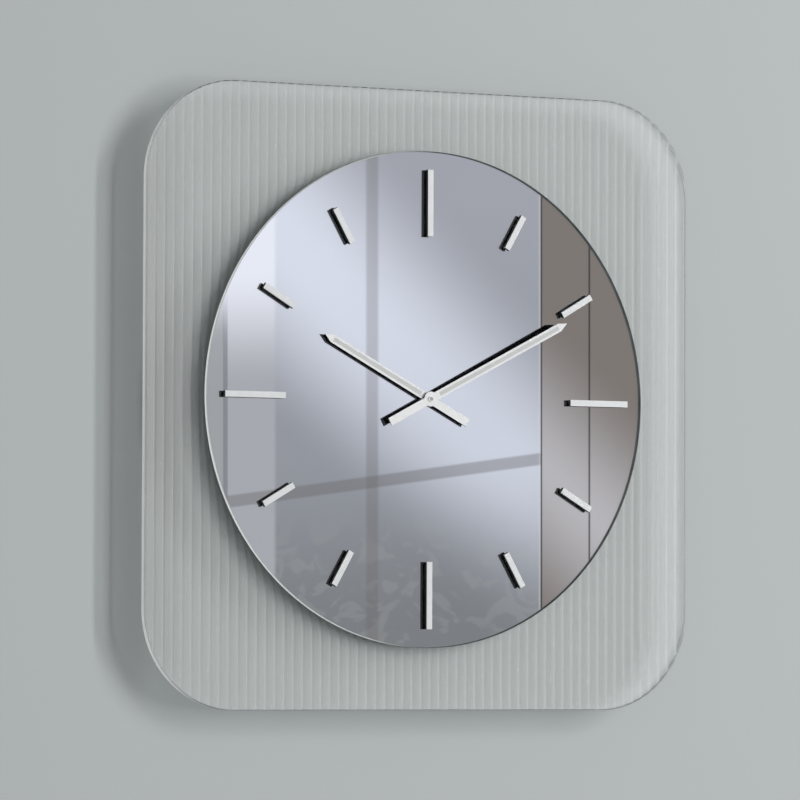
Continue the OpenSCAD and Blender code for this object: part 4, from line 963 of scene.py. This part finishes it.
# Battery. One AA cell in a plain shrunk sleeve, slate with a sand band at its positive end, with
# the sleeve rolled over both ends of the drawn steel can.
CELL_Y, CELL_Z, CELL_STEPS = -12.15, -103.0, 72
sleeve = surface("slate_sleeve", (0.050, 0.060, 0.075), 0.24, grain=300.0, mottle=0.08,
                 relief=0.01, Coat_Weight=0.5, Coat_Roughness=0.12)
sand_band = surface("sand_sleeve_band", (0.52, 0.40, 0.24), 0.28, grain=300.0, relief=0.01,
                    Coat_Weight=0.5, Coat_Roughness=0.12)
cell_steel = surface("drawn_cell_steel", (0.64, 0.64, 0.63), 0.24, metal=1.0, grain=1200.0,
                     uneven=0.08, relief=0.004)
profile = [(4.4, -24.7, 2), (4.8, -24.9, 2), (5.9, -24.9, 2), (6.1, -24.6, 0), (6.9, -24.6, 0),
           (7.25, -24.2, 0), (7.25, 14.0, 1), (7.25, 23.7, 1), (6.95, 24.2, 1), (6.3, 24.3, 2),
           (6.1, 24.1, 2), (4.3, 24.1, 2), (3.5, 24.3, 2), (2.9, 24.3, 2), (2.75, 24.5, 2),
           (2.75, 25.35, 2), (2.5, 25.6, 2)]
rings, coats = [], []
for radius, along, coat in profile:
    ring = turned_ring(radius, along, (CELL_Y, CELL_Z), CELL_STEPS)
    rings.append([(x, y, z) for y, x, z in ring])
    coats.append(coat)
bm = bmesh.new()
add_rings(bm, rings, coats=coats)
finish_piece("sleeved_cell", bm, [sleeve, sand_band, cell_steel], "battery",
             "battery")

# Battery contacts. Two plates of nickel-plated spring steel stand in slots at the ends of the
# bay, one with a pressed bump and one with a bent leaf, and run up to the circuit board.
for node, at_end in (("contact_positive", "bump_contact"), ("contact_negative", "leaf_contact")):
    nickel = surface(at_end + "_nickel", (0.68, 0.66, 0.60), 0.28, metal=1.0, grain=1000.0,
                     stretch=(1, 1, 0.1), mottle=0.1, relief=0.004)
    eased_copy(at_end, node, 0.06, nickel, "frame")

# Circuit board. A strip of green lacquered laminate on two pins, with copper tracks under the
# lacquer, the chip under a drop of black resin, and the quartz crystal in its bright can.
board_green, tree = blank_material("lacquered_board")
at = own_place(tree)
track = shade(tree, "TexBrick", {
    "Vector": shade(tree, "Mapping", {"Vector": at, "Rotation": (math.pi / 2, 0, 0)}),
    "Scale": 420.0, "Mortar Size": 0.09, "Mortar Smooth": 0.3, "Brick Width": 1.7,
    "Row Height": 0.6}).outputs["Fac"]
tone = mixed(tree, track, (0.016, 0.10, 0.045, 1), (0.05, 0.21, 0.09, 1))
show_finish(tree, tone, spread(tree, noise(tree, at, 2500.0, 2.0), 0.25, 0.42),
            Normal=raised(tree, track, 0.6, 0.00003))
eased_copy("laminate_strip", "circuit_board", 0.06, board_green, "frame")
dress("control_chip", surface("black_resin", (0.014, 0.014, 0.015), 0.28, grain=900.0,
                              mottle=0.2))
dress("quartz_crystal", surface("bright_crystal_can", (0.72, 0.73, 0.74), 0.18, metal=1.0,
                                grain=1500.0, relief=0.003))

# Stepping motor. A coil of enamelled copper wire on an ivory bobbin sits on a flat iron core, and
# the stator plate leads its field round the magnet on the rotor's arbor.
ivory = surface("ivory_acetal", (0.72, 0.70, 0.62), 0.40, grain=1500.0, mottle=0.04, relief=0.01)
eased_copy("coil_former", "coil_bobbin", 0.1, ivory, "frame")
wire, tree = blank_material("enamelled_wire")
at = own_place(tree)
winding = shade(tree, "TexWave", {"Vector": at, "Scale": 2100.0, "Distortion": 0.4,
                                  "Detail": 1.0}, bands_direction="X").outputs["Fac"]
lacquer = noise(tree, at, 400.0, 3.0)
tone = mixed(tree, lacquer, (0.48, 0.17, 0.05, 1), (0.74, 0.33, 0.13, 1))
show_finish(tree, tone, spread(tree, lacquer, 0.2, 0.36), Metallic=1.0,
            Normal=raised(tree, winding, 1.0, 0.00006))
dress("coil_winding", wire)
soft_iron = surface("soft_iron_sheet", (0.48, 0.49, 0.50), 0.40, metal=1.0, grain=900.0,
                    mottle=0.12, uneven=0.12, relief=0.006)
eased_copy("stator_plate", "stator", 0.08, soft_iron, "frame")
dress("coil_core", soft_iron)
dress("rotor_magnet", surface("bonded_magnet", (0.12, 0.12, 0.13), 0.5, metal=0.6, grain=1800.0,
                              mottle=0.15, relief=0.01))

# Train bridge and wheels. The ivory bridge sits on three pillars and carries the rear ends of the
# arbors. The wheels and their pinions are single mouldings in white acetal.
eased_copy("ivory_bridge", "train_bridge", 0.12, ivory, "frame")
white_acetal = surface("white_acetal", (0.80, 0.80, 0.77), 0.38, grain=1500.0, mottle=0.04,
                       relief=0.008)
for node in ("rotor_pinion", "intermediate_wheel", "second_wheel", "third_wheel", "centre_wheel",
             "reverser_wheel", "hour_wheel"):
    dress(node, white_acetal)

# Minute arbor. A bright turned steel arbor with the cannon pinion cut in its rear end. It turns
# inside the hour pipe and carries the minute hand.
dress("minute_arbor", surface("bright_arbor_steel", (0.66, 0.67, 0.68), 0.18, metal=1.0,
                              grain=900.0, stretch=(0.05, 4, 0.05), mottle=0.05, relief=0.003))

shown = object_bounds()
